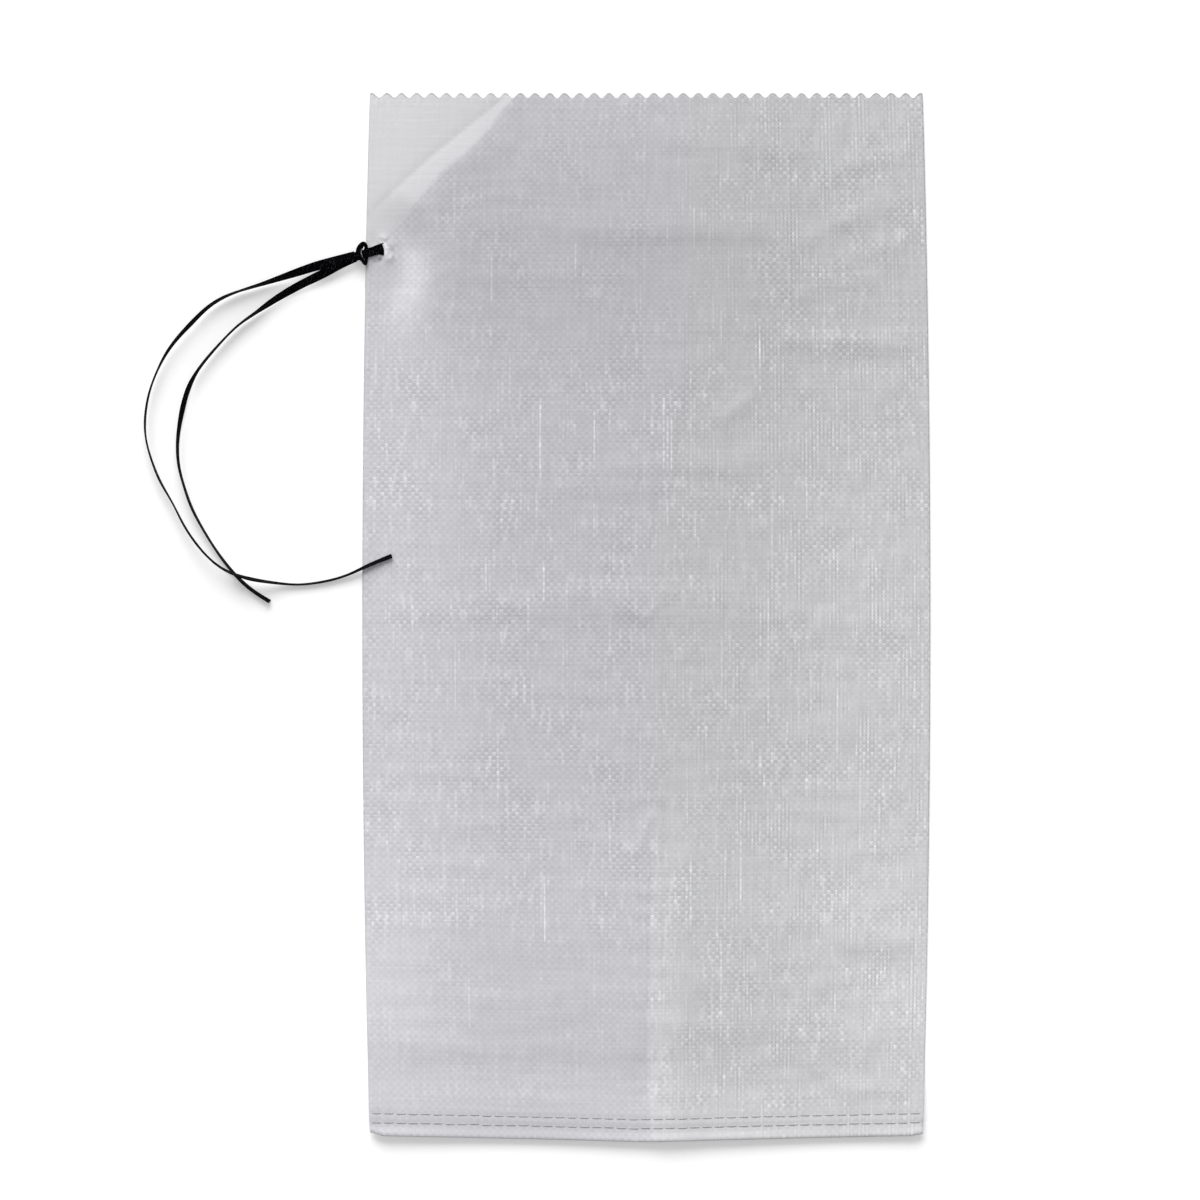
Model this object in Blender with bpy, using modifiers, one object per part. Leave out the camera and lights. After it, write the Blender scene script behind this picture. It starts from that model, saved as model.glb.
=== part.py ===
"""Empty woven sandbag that lies flat and face up, with a flat tie tape knotted through its left side fold.

X runs across the bag, +Y points to its open mouth and +Z points up. The origin is on the floor, at the middle
of the bag's outline. All sizes are in metres.
"""

import math

import bmesh
import bpy
from mathutils import Vector

# Cloth: a seamless tube of woven flat tapes, laid flat
BAG_LENGTH = 0.6650  # pinked mouth to hem fold
END_WIDTH = 0.3500  # flat width at the mouth and at the hem
BELLY_WIDTH = 0.3600  # flat width halfway, where the side folds bow out
FOLD_BOW_POWER = 0.8  # a lower one brings the bow nearer the bag's ends
CLOTH = 0.0003
FOLD_GAP = 0.00016  # air between two layers that are pressed together
PUFF = 0.0100  # how far the front stands off the back in the middle
MOUTH_PUFF = 0.0085  # the same at the mouth
HEM_TAPER = 0.130  # length over which the bag flattens towards its hem
MOUTH_TAPER = 0.120
BELLY_POWER = 2.4  # a higher one makes the section flatter in the middle
EDGE_TAPER = 0.018  # strip along the side folds over which the front's creases start

# Pinked mouth
TOOTH_PITCH = 0.0094
TOOTH_DEPTH = 0.0032

# Hem: both layers turned once to the back
HEM_DEPTH = 0.0200
HEM_BOW = 0.0042  # how much higher the hem's corners lie than its middle
HEM_BOW_SOFTNESS = 0.10  # share of the half width over which the bow is rounded in the middle
HEM_BOW_POWER = 0.8
BOW_REACH = 0.300  # length above the hem over which the bow dies out
HEM_EDGE_FLAT = 0.002  # the back stays up on the turned edge for this length
HEM_STEP = 0.030  # length over which it then comes down to the floor

# Two rows of stitching through the hem
THREAD = 0.0007
STITCH_PITCH = 0.0077
STITCH_RISE = 0.0003  # how far the middle of a stitch stands above its ends
ROW_EDGE_DISTANCE = 0.0057  # upper row in from the hem's raw edge
ROW_SPACING = 0.0057
BACK_STITCHES = 4  # front stitches for each point of the plain run on the back

# Tie: one flat woven tape through both layers and round the side fold
TAPE_WIDTH = 0.0060
TAPE_THICKNESS = 0.0008
TIE_DROP = 0.0994  # hole below the mouth
TIE_INSET = 0.0125  # hole in from the side fold
TIE_ANGLE = math.radians(11.5)
TIE_PINCH = 0.012  # the tie presses the layers together this far round it
TIE_PINCH_FADE = 0.030
KNOT_LENGTH = 0.0050
KNOT_SHOULDER = 0.0008  # how far the knot stands out beside the two tails
KNOT_HEIGHT = 0.0054
KNOT_CORE_INSET = 0.0012  # how far the wrapped core lies inside the wrap's outline
WRAP_WIDTH = 0.0038  # tape of the wrap, drawn narrow by the knot
KNOT_EDGE_ROUND = 0.0008

# Clearances
SEAT_GAP = 0.0003  # between a piece and the cloth or piece that it lies on
HOLE_CLEARANCE = 0.0007  # round the tape in its hole
LOOP_RISE = 0.0001  # the loop's underside above the floor

# Creases of the front
CENTRE_CREASE_X = 0.004
CENTRE_CREASE_DEPTH = 0.0016
CENTRE_CREASE_WIDTH = 0.009
CENTRE_CREASE_TOP = -0.110
CENTRE_CREASE_FADE = 0.080
MIDDLE_CREASE_Y = 0.004
MIDDLE_CREASE_HEIGHT = 0.0011
MIDDLE_CREASE_WIDTH = 0.010
SIDE_CREASE_Y = -0.205
SIDE_CREASE_START = 0.095
SIDE_CREASE_FADE = 0.030
SIDE_CREASE_HEIGHT = 0.0014
SIDE_CREASE_WIDTH = 0.009
PLEAT_END = (-0.0905, 0.3310)  # where the pleat from the tie reaches the mouth
PLEAT_HEIGHT = 0.0034
PLEAT_WIDTH = 0.010
PLEAT_FADE = 0.25  # share of the pleat over which it rises from the tie
LOBE_END = (-0.1370, 0.1780)  # where the short pull mark under the tie fades
LOBE_HEIGHT = 0.0026
LOBE_WIDTH = 0.012
LOBE_FADE = 0.3  # share of the mark over which it rises at the tie

# Fineness of the cloth's mesh
TIE_CELL = 0.0065
PLEAT_CELL = 0.014
PLAIN_CELL = 0.027
CREASE_CELL = 0.009
BACK_CELL = 0.040
SIDE_FOLD_STEPS = 4
HEM_FOLD_STEPS = 6

# Tie tails: points chosen along each tape, from the knot to the cut end
LONG_TAIL = (
    (-0.2080, 0.2227, 0.0031),
    (-0.2190, 0.2190, 0.0031),
    (-0.2320, 0.2147, 0.0031),
    (-0.2450, 0.2104, 0.0031),
    (-0.2580, 0.2065, 0.0031),
    (-0.2690, 0.2022, 0.0031),
    (-0.2790, 0.1955, 0.0031),
    (-0.2880, 0.1862, 0.0031),
    (-0.2968, 0.1770, 0.0031),
    (-0.3045, 0.1667, 0.0031),
    (-0.3098, 0.1560, 0.0031),
    (-0.3135, 0.1470, 0.0031),
    (-0.3160, 0.1380, 0.0031),
    (-0.3178, 0.1240, 0.0031),
    (-0.3172, 0.1130, 0.0031),
    (-0.3145, 0.1025, 0.0031),
    (-0.3083, 0.0862, 0.0031),
    (-0.3000, 0.0723, 0.0031),
    (-0.2930, 0.0580, 0.0040),
    (-0.2850, 0.0463, 0.0068),
    (-0.2770, 0.0372, 0.0092),
    (-0.2680, 0.0300, 0.0097),
    (-0.2590, 0.0262, 0.0097),
    (-0.2500, 0.0238, 0.0089),
    (-0.2400, 0.0222, 0.0063),
    (-0.2300, 0.0210, 0.0039),
    (-0.2200, 0.0203, 0.0031),
    (-0.2040, 0.0224, 0.0031),
    (-0.1897, 0.0263, 0.0037),
    (-0.1757, 0.0330, 0.0055),
    (-0.1612, 0.0387, 0.0071),
)
SHORT_TAIL = (
    (-0.2080, 0.2157, 0.0031),
    (-0.2160, 0.2122, 0.0031),
    (-0.2255, 0.2070, 0.0031),
    (-0.2385, 0.1992, 0.0031),
    (-0.2475, 0.1925, 0.0031),
    (-0.2575, 0.1860, 0.0031),
    (-0.2665, 0.1772, 0.0031),
    (-0.2753, 0.1675, 0.0031),
    (-0.2842, 0.1565, 0.0031),
    (-0.2903, 0.1450, 0.0031),
    (-0.2937, 0.1325, 0.0031),
    (-0.2960, 0.1205, 0.0031),
    (-0.2972, 0.1078, 0.0031),
    (-0.2963, 0.0950, 0.0031),
    (-0.2935, 0.0850, 0.0031),
    (-0.2887, 0.0703, 0.0031),
    (-0.2823, 0.0580, 0.0031),
    (-0.2753, 0.0463, 0.0031),
    (-0.2680, 0.0357, 0.0031),
    (-0.2607, 0.0268, 0.0031),
    (-0.2537, 0.0198, 0.0031),
    (-0.2467, 0.0146, 0.0031),
    (-0.2385, 0.0097, 0.0031),
)
TAIL_POINT_SPACING = 0.0135
TAIL_LEAD = 0.0050  # straight start of each tail

# Places that follow from the sizes above
UPPER_ROW_HEIGHT = HEM_DEPTH - ROW_EDGE_DISTANCE  # above the hem fold
LOWER_ROW_HEIGHT = UPPER_ROW_HEIGHT - ROW_SPACING
KNOT_SPAN = 2 * (TAPE_WIDTH + KNOT_SHOULDER)
LAYER = CLOTH + FOLD_GAP  # from the middle of one pressed layer to the middle of the next
MOUTH_Y = BAG_LENGTH / 2
HEM_Y = -BAG_LENGTH / 2
HEM_TOP = BAG_LENGTH - HEM_DEPTH  # distance of the hem's raw edge below the mouth
HEM_SEAT = THREAD + SEAT_GAP  # the back stitches lie under the hem
HEM_CENTRE_Z = HEM_SEAT + CLOTH / 2 + 1.5 * LAYER
HEM_FOLD_REACH = 1.5 * LAYER + CLOTH / 2
FLOOR_LEVEL = CLOTH / 2
TIE_LIFT = TAPE_THICKNESS + 2 * SEAT_GAP
CUTTER_HEIGHT = 4 * PUFF


def smooth(share):
    share = min(max(share, 0.0), 1.0)
    return share * share * (3.0 - 2.0 * share)


def hump(distance, width):
    return math.exp(-((distance / width) ** 2))


def material(name, colour, roughness):
    made = bpy.data.materials.new(name)
    made.use_nodes = True
    shader = made.node_tree.nodes["Principled BSDF"]
    shader.inputs["Base Color"].default_value = (*colour, 1.0)
    shader.inputs["Roughness"].default_value = roughness
    shader.inputs["Metallic"].default_value = 0.0
    made.diffuse_color = (*colour, 1.0)
    return made


def new_object(name, data, collection, made_of=None):
    piece = bpy.data.objects.new(name, data)
    collection.objects.link(piece)
    if made_of:
        data.materials.append(made_of)
    return piece


def hide_guide(piece):
    piece.hide_render = True
    piece.display_type = "WIRE"


def add_boolean(piece, operation, other):
    cut = piece.modifiers.new(other.name, "BOOLEAN")
    cut.operation = operation
    cut.solver = "EXACT"
    cut.object = other


def add_solidify(piece, thickness):
    wall = piece.modifiers.new("wall", "SOLIDIFY")
    wall.thickness = thickness
    wall.offset = 0.0
    wall.use_even_offset = True


def rounded_block(name, size, edge, collection, made_of=None):
    """A block of this size about its own middle, with rounded edges."""
    block = bmesh.new()
    bmesh.ops.create_cube(block, size=1.0)
    bmesh.ops.scale(block, vec=size, verts=block.verts)
    mesh = bpy.data.meshes.new(name)
    block.to_mesh(mesh)
    block.free()
    piece = new_object(name, mesh, collection, made_of)
    edge_round = piece.modifiers.new("edge_round", "BEVEL")
    edge_round.width = edge
    edge_round.segments = 2
    return piece


def evenly(start, end, pitch):
    """Stops from start up to, but not at, end, no further apart than the pitch."""
    count = max(1, math.ceil((end - start) / pitch - 1e-6))
    return [start + (end - start) * step / count for step in range(count)]


def half_width(down):
    """Half the flat width at a distance below the mouth."""
    share = min(max(down / BAG_LENGTH, 0.0), 1.0)
    bow = max(math.sin(math.pi * share), 0.0) ** FOLD_BOW_POWER
    return (END_WIDTH + (BELLY_WIDTH - END_WIDTH) * bow) / 2


def hem_rise(x):
    """How much higher than its lowest point the hem lies at x."""
    share = math.hypot(x / (END_WIDTH / 2), HEM_BOW_SOFTNESS) - HEM_BOW_SOFTNESS
    return HEM_BOW * min(share, 1.0) ** HEM_BOW_POWER


def cloth_y(x, down):
    reach = smooth(1.0 - (HEM_TOP - down) / BOW_REACH)
    return MOUTH_Y - down + hem_rise(x) * reach


def tie_centre():
    return Vector((-half_width(TIE_DROP) + TIE_INSET, MOUTH_Y - TIE_DROP))


def tie_direction():
    return Vector((math.cos(TIE_ANGLE), math.sin(TIE_ANGLE)))


def beside_line(x, y, start, end):
    """Distance from the line between two points, and the share of the way along it."""
    run = Vector(end) - Vector(start)
    reach = Vector((x, y)) - Vector(start)
    along = reach.dot(run) / run.length_squared
    aside = (run.x * reach.y - run.y * reach.x) / run.length
    return aside, along


def tie_pinch(x, y):
    """1 where the tie holds the layers together, fading round it."""
    fold_end = tie_centre() - tie_direction() * TIE_INSET
    middle = (tie_centre() + fold_end) / 2
    reach = (Vector((x, y)) - middle).length
    return 1.0 - smooth((reach - TIE_PINCH) / TIE_PINCH_FADE)


def back_level(x, y, down):
    """Height of the middle of the back layer: on the floor, up on the tie and up on the turned hem."""
    hem_level = HEM_CENTRE_Z + LAYER / 2
    on_hem = smooth(1.0 - (HEM_TOP - down - HEM_EDGE_FLAT) / HEM_STEP)
    lifted = FLOOR_LEVEL + TIE_LIFT * tie_pinch(x, y)
    return lifted + (hem_level - lifted) * on_hem


def front_creases(x, y):
    """Height that the front's main creases add, in full away from the side folds."""
    total = MIDDLE_CREASE_HEIGHT * hump(y - MIDDLE_CREASE_Y, MIDDLE_CREASE_WIDTH)
    centre = smooth((CENTRE_CREASE_TOP - y) / CENTRE_CREASE_FADE)
    total -= CENTRE_CREASE_DEPTH * centre * hump(x - CENTRE_CREASE_X, CENTRE_CREASE_WIDTH)
    side = smooth((x - SIDE_CREASE_START) / SIDE_CREASE_FADE)
    total += SIDE_CREASE_HEIGHT * side * hump(y - SIDE_CREASE_Y, SIDE_CREASE_WIDTH)
    aside, along = beside_line(x, y, tie_centre(), PLEAT_END)
    total += PLEAT_HEIGHT * smooth(along / PLEAT_FADE) * hump(aside, PLEAT_WIDTH)
    aside, along = beside_line(x, y, tie_centre(), LOBE_END)
    lobe = smooth(along / LOBE_FADE) * smooth((1.0 + LOBE_FADE - along) / (2 * LOBE_FADE))
    total += LOBE_HEIGHT * lobe * hump(aside, LOBE_WIDTH)
    return total


def layer_gap(x, y, down, across):
    """Distance between the middles of the front and back layers."""
    belly = 1.0 - abs(across) ** BELLY_POWER
    to_hem = smooth((HEM_TOP - down) / HEM_TAPER)
    to_mouth = smooth(down / MOUTH_TAPER)
    puff = MOUTH_PUFF + (PUFF - MOUTH_PUFF) * to_mouth
    off_fold = smooth((1.0 - abs(across)) * BELLY_WIDTH / 2 / EDGE_TAPER)
    free = 1.0 - tie_pinch(x, y)
    return LAYER + to_hem * free * (puff * belly + off_fold * front_creases(x, y))


def ring_stops():
    """Stops once round the tube, each a share across (-1 left fold, 1 right fold) and a turning angle."""
    near_tie = 2 * TIE_INSET
    past_pleat = BELLY_WIDTH / 2 + PLEAT_END[0] + 2 * PLEAT_WIDTH
    centre = BELLY_WIDTH / 2 + CENTRE_CREASE_X
    stops = evenly(0.0, near_tie, TIE_CELL)
    stops += evenly(near_tie, past_pleat, PLEAT_CELL)
    stops += evenly(past_pleat, centre - CREASE_CELL, PLAIN_CELL)
    stops += evenly(centre - CREASE_CELL, centre + CREASE_CELL, CREASE_CELL)
    stops += evenly(centre + CREASE_CELL, BELLY_WIDTH, PLAIN_CELL)
    front = [2 * stop / BELLY_WIDTH - 1 for stop in stops] + [1.0]
    back_stops = evenly(0.0, near_tie, TIE_CELL) + evenly(near_tie, BELLY_WIDTH, BACK_CELL)
    back = [2 * stop / BELLY_WIDTH - 1 for stop in back_stops] + [1.0]
    quarter = math.pi / 2
    turns = [quarter - math.pi * step / SIDE_FOLD_STEPS for step in range(1, SIDE_FOLD_STEPS)]
    ring = [(share, quarter) for share in front]
    ring += [(1.0, turn) for turn in turns]
    ring += [(share, -quarter) for share in reversed(back)]
    ring += [(-1.0, turn) for turn in reversed(turns)]
    return ring + ring[:1]


def row_stops():
    """Rows from the mouth, down the bag, round the hem fold and up its back.

    Each is a distance below the mouth, an angle round the hem fold and a distance up the turned part.
    """
    tie_start = TIE_DROP - TIE_PINCH - CREASE_CELL / 2
    tie_end = TIE_DROP + TIE_PINCH + CREASE_CELL / 2
    middle = MOUTH_Y - MIDDLE_CREASE_Y
    side = MOUTH_Y - SIDE_CREASE_Y
    taper = HEM_TOP - HEM_EDGE_FLAT - HEM_STEP
    front_fold = BAG_LENGTH - HEM_FOLD_REACH
    downs = evenly(-TOOTH_DEPTH / 2, tie_start, PLEAT_CELL)
    downs += evenly(tie_start, tie_end, TIE_CELL)
    downs += evenly(tie_end, middle - CREASE_CELL, PLAIN_CELL)
    downs += evenly(middle - CREASE_CELL, middle + CREASE_CELL, CREASE_CELL)
    downs += evenly(middle + CREASE_CELL, side - CREASE_CELL, PLAIN_CELL)
    downs += evenly(side - CREASE_CELL, side + CREASE_CELL, CREASE_CELL)
    downs += evenly(side + CREASE_CELL, taper, PLAIN_CELL)
    downs += evenly(taper, HEM_TOP - HEM_EDGE_FLAT, CREASE_CELL)
    downs += evenly(HEM_TOP - HEM_EDGE_FLAT, front_fold, HEM_DEPTH)
    rows = [(down, 0.0, 0.0) for down in downs]
    turns = range(HEM_FOLD_STEPS + 1)
    rows += [(front_fold, math.pi * step / HEM_FOLD_STEPS, 0.0) for step in turns]
    rows.append((front_fold, math.pi, HEM_DEPTH - HEM_FOLD_REACH))
    return rows


def cloth_point(stop, row):
    """A point of the cloth's middle surface."""
    across, turn = stop
    down, bend, turned = row
    edge = half_width(down) - (LAYER + CLOTH) / 2
    x = across * edge + math.copysign(LAYER / 2 * math.cos(turn), across)
    y = cloth_y(x, down)
    if bend == 0.0:
        gap = layer_gap(x, y, down, across)
        return Vector((x, y, back_level(x, y, down) + gap * (1.0 + math.sin(turn)) / 2))
    radius = LAYER + LAYER / 2 * math.sin(turn)
    y += turned - radius * math.sin(bend)
    return Vector((x, y, HEM_CENTRE_Z + radius * math.cos(bend)))


def make_bag(collection, guides, made_of):
    """One piece of cloth: a flat grid laid round as the tube and turned up at the hem."""
    ring = ring_stops()
    rows = row_stops()
    columns = len(ring) - 1
    lines = len(rows) - 1
    cloth = bmesh.new()
    bmesh.ops.create_grid(cloth, x_segments=columns, y_segments=lines, size=1.0)
    for vertex in cloth.verts:
        column = round((vertex.co.x + 1.0) / 2 * columns)
        line = round((vertex.co.y + 1.0) / 2 * lines)
        vertex.co = cloth_point(ring[column], rows[line])
    bmesh.ops.remove_doubles(cloth, verts=cloth.verts, dist=1e-6)
    bmesh.ops.recalc_face_normals(cloth, faces=cloth.faces)
    mesh = bpy.data.meshes.new("bag")
    cloth.to_mesh(mesh)
    cloth.free()
    mesh.shade_smooth()
    mesh.set_sharp_from_angle(angle=math.radians(40))
    bag = new_object("bag", mesh, collection, made_of)
    add_solidify(bag, CLOTH)
    add_boolean(bag, "DIFFERENCE", make_pinking_cutter(guides))
    add_boolean(bag, "DIFFERENCE", make_hole_cutter(guides))
    return bag


def make_pinking_cutter(guides):
    """A zigzag block over the mouth, which leaves the teeth of pinking shears in both layers."""
    teeth = math.ceil(END_WIDTH / TOOTH_PITCH) + 1
    block = bmesh.new()
    bmesh.ops.create_grid(block, x_segments=2 * teeth, y_segments=1, size=1.0)
    for vertex in block.verts:
        step = round((vertex.co.x + 1.0) * teeth)
        upper = vertex.co.y > 0.0
        valley = TOOTH_DEPTH * (step % 2)
        x = (step - teeth) * TOOTH_PITCH / 2
        vertex.co = Vector((x, MOUTH_Y + (2 * TOOTH_DEPTH if upper else -valley), 0.0))
    bmesh.ops.recalc_face_normals(block, faces=block.faces)
    mesh = bpy.data.meshes.new("pinking_cutter")
    block.to_mesh(mesh)
    block.free()
    cutter = new_object("pinking_cutter", mesh, guides)
    add_solidify(cutter, CUTTER_HEIGHT)
    hide_guide(cutter)
    return cutter


def hole_half_length():
    """Half the hole's length along the tie: room for the turn of the tape."""
    return (loop_top() - loop_bottom()) / 2 + TAPE_THICKNESS / 2 + HOLE_CLEARANCE


def make_hole_cutter(guides):
    """The slot that the tape goes through, in both layers."""
    size = (2 * hole_half_length(), TAPE_WIDTH + 2 * HOLE_CLEARANCE, CUTTER_HEIGHT)
    cutter = rounded_block("hole_cutter", size, HOLE_CLEARANCE, guides)
    cutter.location = (*tie_centre(), 0.0)
    cutter.rotation_euler = (0.0, 0.0, TIE_ANGLE)
    hide_guide(cutter)
    return cutter


def side_turn(x, side, start_z, end_z):
    """Points of the thread's half turn round a side fold, without its two ends."""
    middle = (start_z + end_z) / 2
    points = []
    for step in (1, 2, 3):
        turn = math.pi * step / 4
        out = abs(start_z - middle) * math.sin(turn)
        points.append((x + side * out, 0.0, middle + (start_z - middle) * math.cos(turn)))
    return points


def stitch_route(height):
    """The thread's path once round the hem: stitches on the front, a plain run on the back."""
    front_z = HEM_CENTRE_Z + 1.5 * LAYER + CLOTH / 2 + SEAT_GAP + THREAD / 2
    back_z = THREAD / 2
    reach = half_width(BAG_LENGTH)
    count = round(2 * reach / STITCH_PITCH)
    pitch = 2 * reach / count
    points = []
    for stitch in range(count):
        start = -reach + stitch * pitch
        for share, rise in ((0.0, 0.0), (0.2, STITCH_RISE), (0.7, STITCH_RISE)):
            x = start + share * pitch
            points.append((x, rise, front_z))
    points += [(reach, 0.0, front_z), *side_turn(reach, 1.0, front_z, back_z), (reach, 0.0, back_z)]
    for stitch in range(count - BACK_STITCHES, 0, -BACK_STITCHES):
        points.append((-reach + stitch * pitch, 0.0, back_z))
    points += [(-reach, 0.0, back_z), *side_turn(-reach, -1.0, back_z, front_z)]
    return [(x, HEM_Y + hem_rise(x) + height, z + rise) for x, rise, z in points]


def make_stitch_row(name, height, collection, made_of):
    """One thread that closes round the hem, as a cyclic curve with a round section."""
    route = stitch_route(height)
    curve = bpy.data.curves.new(name, "CURVE")
    curve.dimensions = "3D"
    curve.bevel_depth = THREAD / 2
    curve.bevel_resolution = 1
    spline = curve.splines.new("POLY")
    spline.points.add(len(route) - 1)
    for point, place in zip(spline.points, route):
        point.co = (*place, 1.0)
    spline.use_cyclic_u = True
    return new_object(name, curve, collection, made_of)


def loop_top():
    """Height of the middle of the tape where it lies on the front."""
    highest = 0.0
    for step in range(9):
        for aside in (-1.0, 0.0, 1.0):
            along = tie_direction() * (-TIE_INSET * step / 8)
            over = tie_direction().orthogonal() * aside * TAPE_WIDTH / 2
            place = tie_centre() + along + over
            across = min(max(place.x / half_width(TIE_DROP), -1.0), 1.0)
            down = MOUTH_Y - place.y
            level = back_level(place.x, place.y, down)
            highest = max(highest, level + layer_gap(place.x, place.y, down, across))
    return highest + CLOTH / 2 + SEAT_GAP + TAPE_THICKNESS / 2


def loop_bottom():
    """Height of the middle of the tape where it runs under the back, just off the floor."""
    return TAPE_THICKNESS / 2 + LOOP_RISE


def knot_near_end():
    """Distance from the hole back to the knot's face at the side fold."""
    return TIE_INSET / math.cos(TIE_ANGLE) + KNOT_SPAN / 2 * math.tan(TIE_ANGLE) + SEAT_GAP


def tie_place(along, aside, z):
    """A point in the tie's own directions: along it, across it and up."""
    flat = tie_centre() + tie_direction() * along + Vector((-tie_direction().y, tie_direction().x)) * aside
    return Vector((flat.x, flat.y, z))


def band_mesh(name, outline, width, place):
    """A closed strip of tape: each outline point gives its two edges through the place function."""
    strip = bmesh.new()
    pairs = []
    for one, other in outline:
        pairs.append([strip.verts.new(place(one, other, side * width / 2)) for side in (-1, 1)])
    for (low_a, low_b), (high_a, high_b) in zip(pairs, pairs[1:] + pairs[:1]):
        strip.faces.new((low_a, low_b, high_b, high_a))
    bmesh.ops.recalc_face_normals(strip, faces=strip.faces)
    mesh = bpy.data.meshes.new(name)
    strip.to_mesh(mesh)
    strip.free()
    return mesh


def stadium(low, high, bottom, top, steps=6):
    """Points round a flat loop with round ends, from low to high and between two heights."""
    radius = (top - bottom) / 2
    middle = (top + bottom) / 2
    points = []
    for centre, start in ((high - radius, -math.pi / 2), (low + radius, math.pi / 2)):
        for step in range(steps + 1):
            turn = start + math.pi * step / steps
            points.append((centre + radius * math.cos(turn), middle + radius * math.sin(turn)))
    return points


def make_tie_knot(collection, guides, made_of):
    """The tape's loop through the hole and round the fold, and the knot that closes it."""
    near = -knot_near_end()
    far = near - KNOT_LENGTH
    radius = (loop_top() - loop_bottom()) / 2
    loop_outline = stadium((near + far) / 2, radius, loop_bottom(), loop_top())
    loop_mesh = band_mesh("tie_loop", loop_outline, TAPE_WIDTH, lambda s, z, aside: tie_place(s, aside, z))
    loop = new_object("tie_loop", loop_mesh, guides)
    add_solidify(loop, TAPE_THICKNESS)
    hide_guide(loop)
    edge = KNOT_SPAN / 2 - TAPE_THICKNESS / 2
    low = TAPE_THICKNESS / 2
    wrap_outline = stadium(-edge, edge, low, KNOT_HEIGHT - low)
    middle = (near + far) / 2
    wrap_mesh = band_mesh(
        "knot_wrap",
        wrap_outline,
        WRAP_WIDTH,
        lambda aside, z, s: tie_place(middle + s, aside, z),
    )
    wrap = new_object("knot_wrap", wrap_mesh, guides)
    add_solidify(wrap, TAPE_THICKNESS)
    hide_guide(wrap)
    core_size = (KNOT_LENGTH, KNOT_SPAN - 2 * KNOT_CORE_INSET, KNOT_HEIGHT - TAPE_THICKNESS)
    knot = rounded_block("tie_knot", core_size, KNOT_EDGE_ROUND, collection, made_of)
    knot.location = tie_place(middle, 0.0, KNOT_HEIGHT / 2)
    knot.rotation_euler = (0.0, 0.0, TIE_ANGLE)
    add_boolean(knot, "UNION", loop)
    add_boolean(knot, "UNION", wrap)
    return knot


def smooth_route(points, spacing):
    """Evenly spaced points read from a smooth curve through the chosen ones."""
    chosen = [Vector(point) for point in points]
    padded = [2 * chosen[0] - chosen[1], *chosen, 2 * chosen[-1] - chosen[-2]]
    fine = []
    for before, start, end, after in zip(padded, padded[1:], padded[2:], padded[3:]):
        for step in range(12):
            t = step / 12
            place = 2 * start + (end - before) * t
            place += (2 * before - 5 * start + 4 * end - after) * t**2
            place += (3 * start - before - 3 * end + after) * t**3
            fine.append(place / 2)
    fine.append(chosen[-1])
    lengths = [0.0]
    for start, end in zip(fine, fine[1:]):
        lengths.append(lengths[-1] + (end - start).length)
    count = round(lengths[-1] / spacing)
    route = []
    place = 0
    for step in range(count + 1):
        target = lengths[-1] * step / count
        while place < len(lengths) - 2 and lengths[place + 1] < target:
            place += 1
        share = (target - lengths[place]) / (lengths[place + 1] - lengths[place])
        route.append(fine[place].lerp(fine[place + 1], share))
    return route


def make_tail(name, chosen, aside, collection, made_of):
    """A tail of the tie, as a plain tube as thick as the tape is wide, which starts at the knot's far face."""
    exit_along = -knot_near_end() - KNOT_LENGTH - SEAT_GAP
    exit_point = tie_place(exit_along, aside, TAPE_WIDTH / 2)
    lead = tie_place(exit_along - TAIL_LEAD, aside, chosen[0][2])
    route = [exit_point, *smooth_route((lead, *chosen), TAIL_POINT_SPACING)]
    curve = bpy.data.curves.new(name, "CURVE")
    curve.dimensions = "3D"
    curve.bevel_depth = TAPE_WIDTH / 2
    curve.bevel_resolution = 2
    curve.use_fill_caps = True
    curve.twist_mode = "Z_UP"
    spline = curve.splines.new("POLY")
    spline.points.add(len(route) - 1)
    for point, place in zip(spline.points, route):
        point.co = (*place, 1.0)
    return new_object(name, curve, collection, made_of)


def main():
    for old in list(bpy.data.objects):
        bpy.data.objects.remove(old, do_unlink=True)
    parts = bpy.data.collections.new("woven_sandbag")
    guides = bpy.data.collections.new("cutters")
    bpy.context.scene.collection.children.link(parts)
    bpy.context.scene.collection.children.link(guides)
    cloth = material("woven_white_polypropylene", (0.60, 0.60, 0.63), 0.42)
    thread = material("white_sewing_thread", (0.55, 0.55, 0.57), 0.60)
    tape = material("black_flat_tape", (0.012, 0.012, 0.013), 0.50)
    make_bag(parts, guides, cloth)
    make_stitch_row("upper_stitch_row", UPPER_ROW_HEIGHT, parts, thread)
    make_stitch_row("lower_stitch_row", LOWER_ROW_HEIGHT, parts, thread)
    make_tie_knot(parts, guides, tape)
    tail_side = (TAPE_WIDTH + SEAT_GAP) / 2
    make_tail("tie_tail_long", LONG_TAIL, tail_side, parts, tape)
    make_tail("tie_tail_short", SHORT_TAIL, -tail_side, parts, tape)


main()
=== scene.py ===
"""Looks of an empty woven sandbag with a black flat tie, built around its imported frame.

X runs across the bag, +Y points to its open mouth and +Z points up. The bag lies on the floor at z = 0,
face up. All sizes are in metres unless a name says millimetres.
"""

import math

import bmesh
import bpy
import numpy as np
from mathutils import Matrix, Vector, noise


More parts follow.
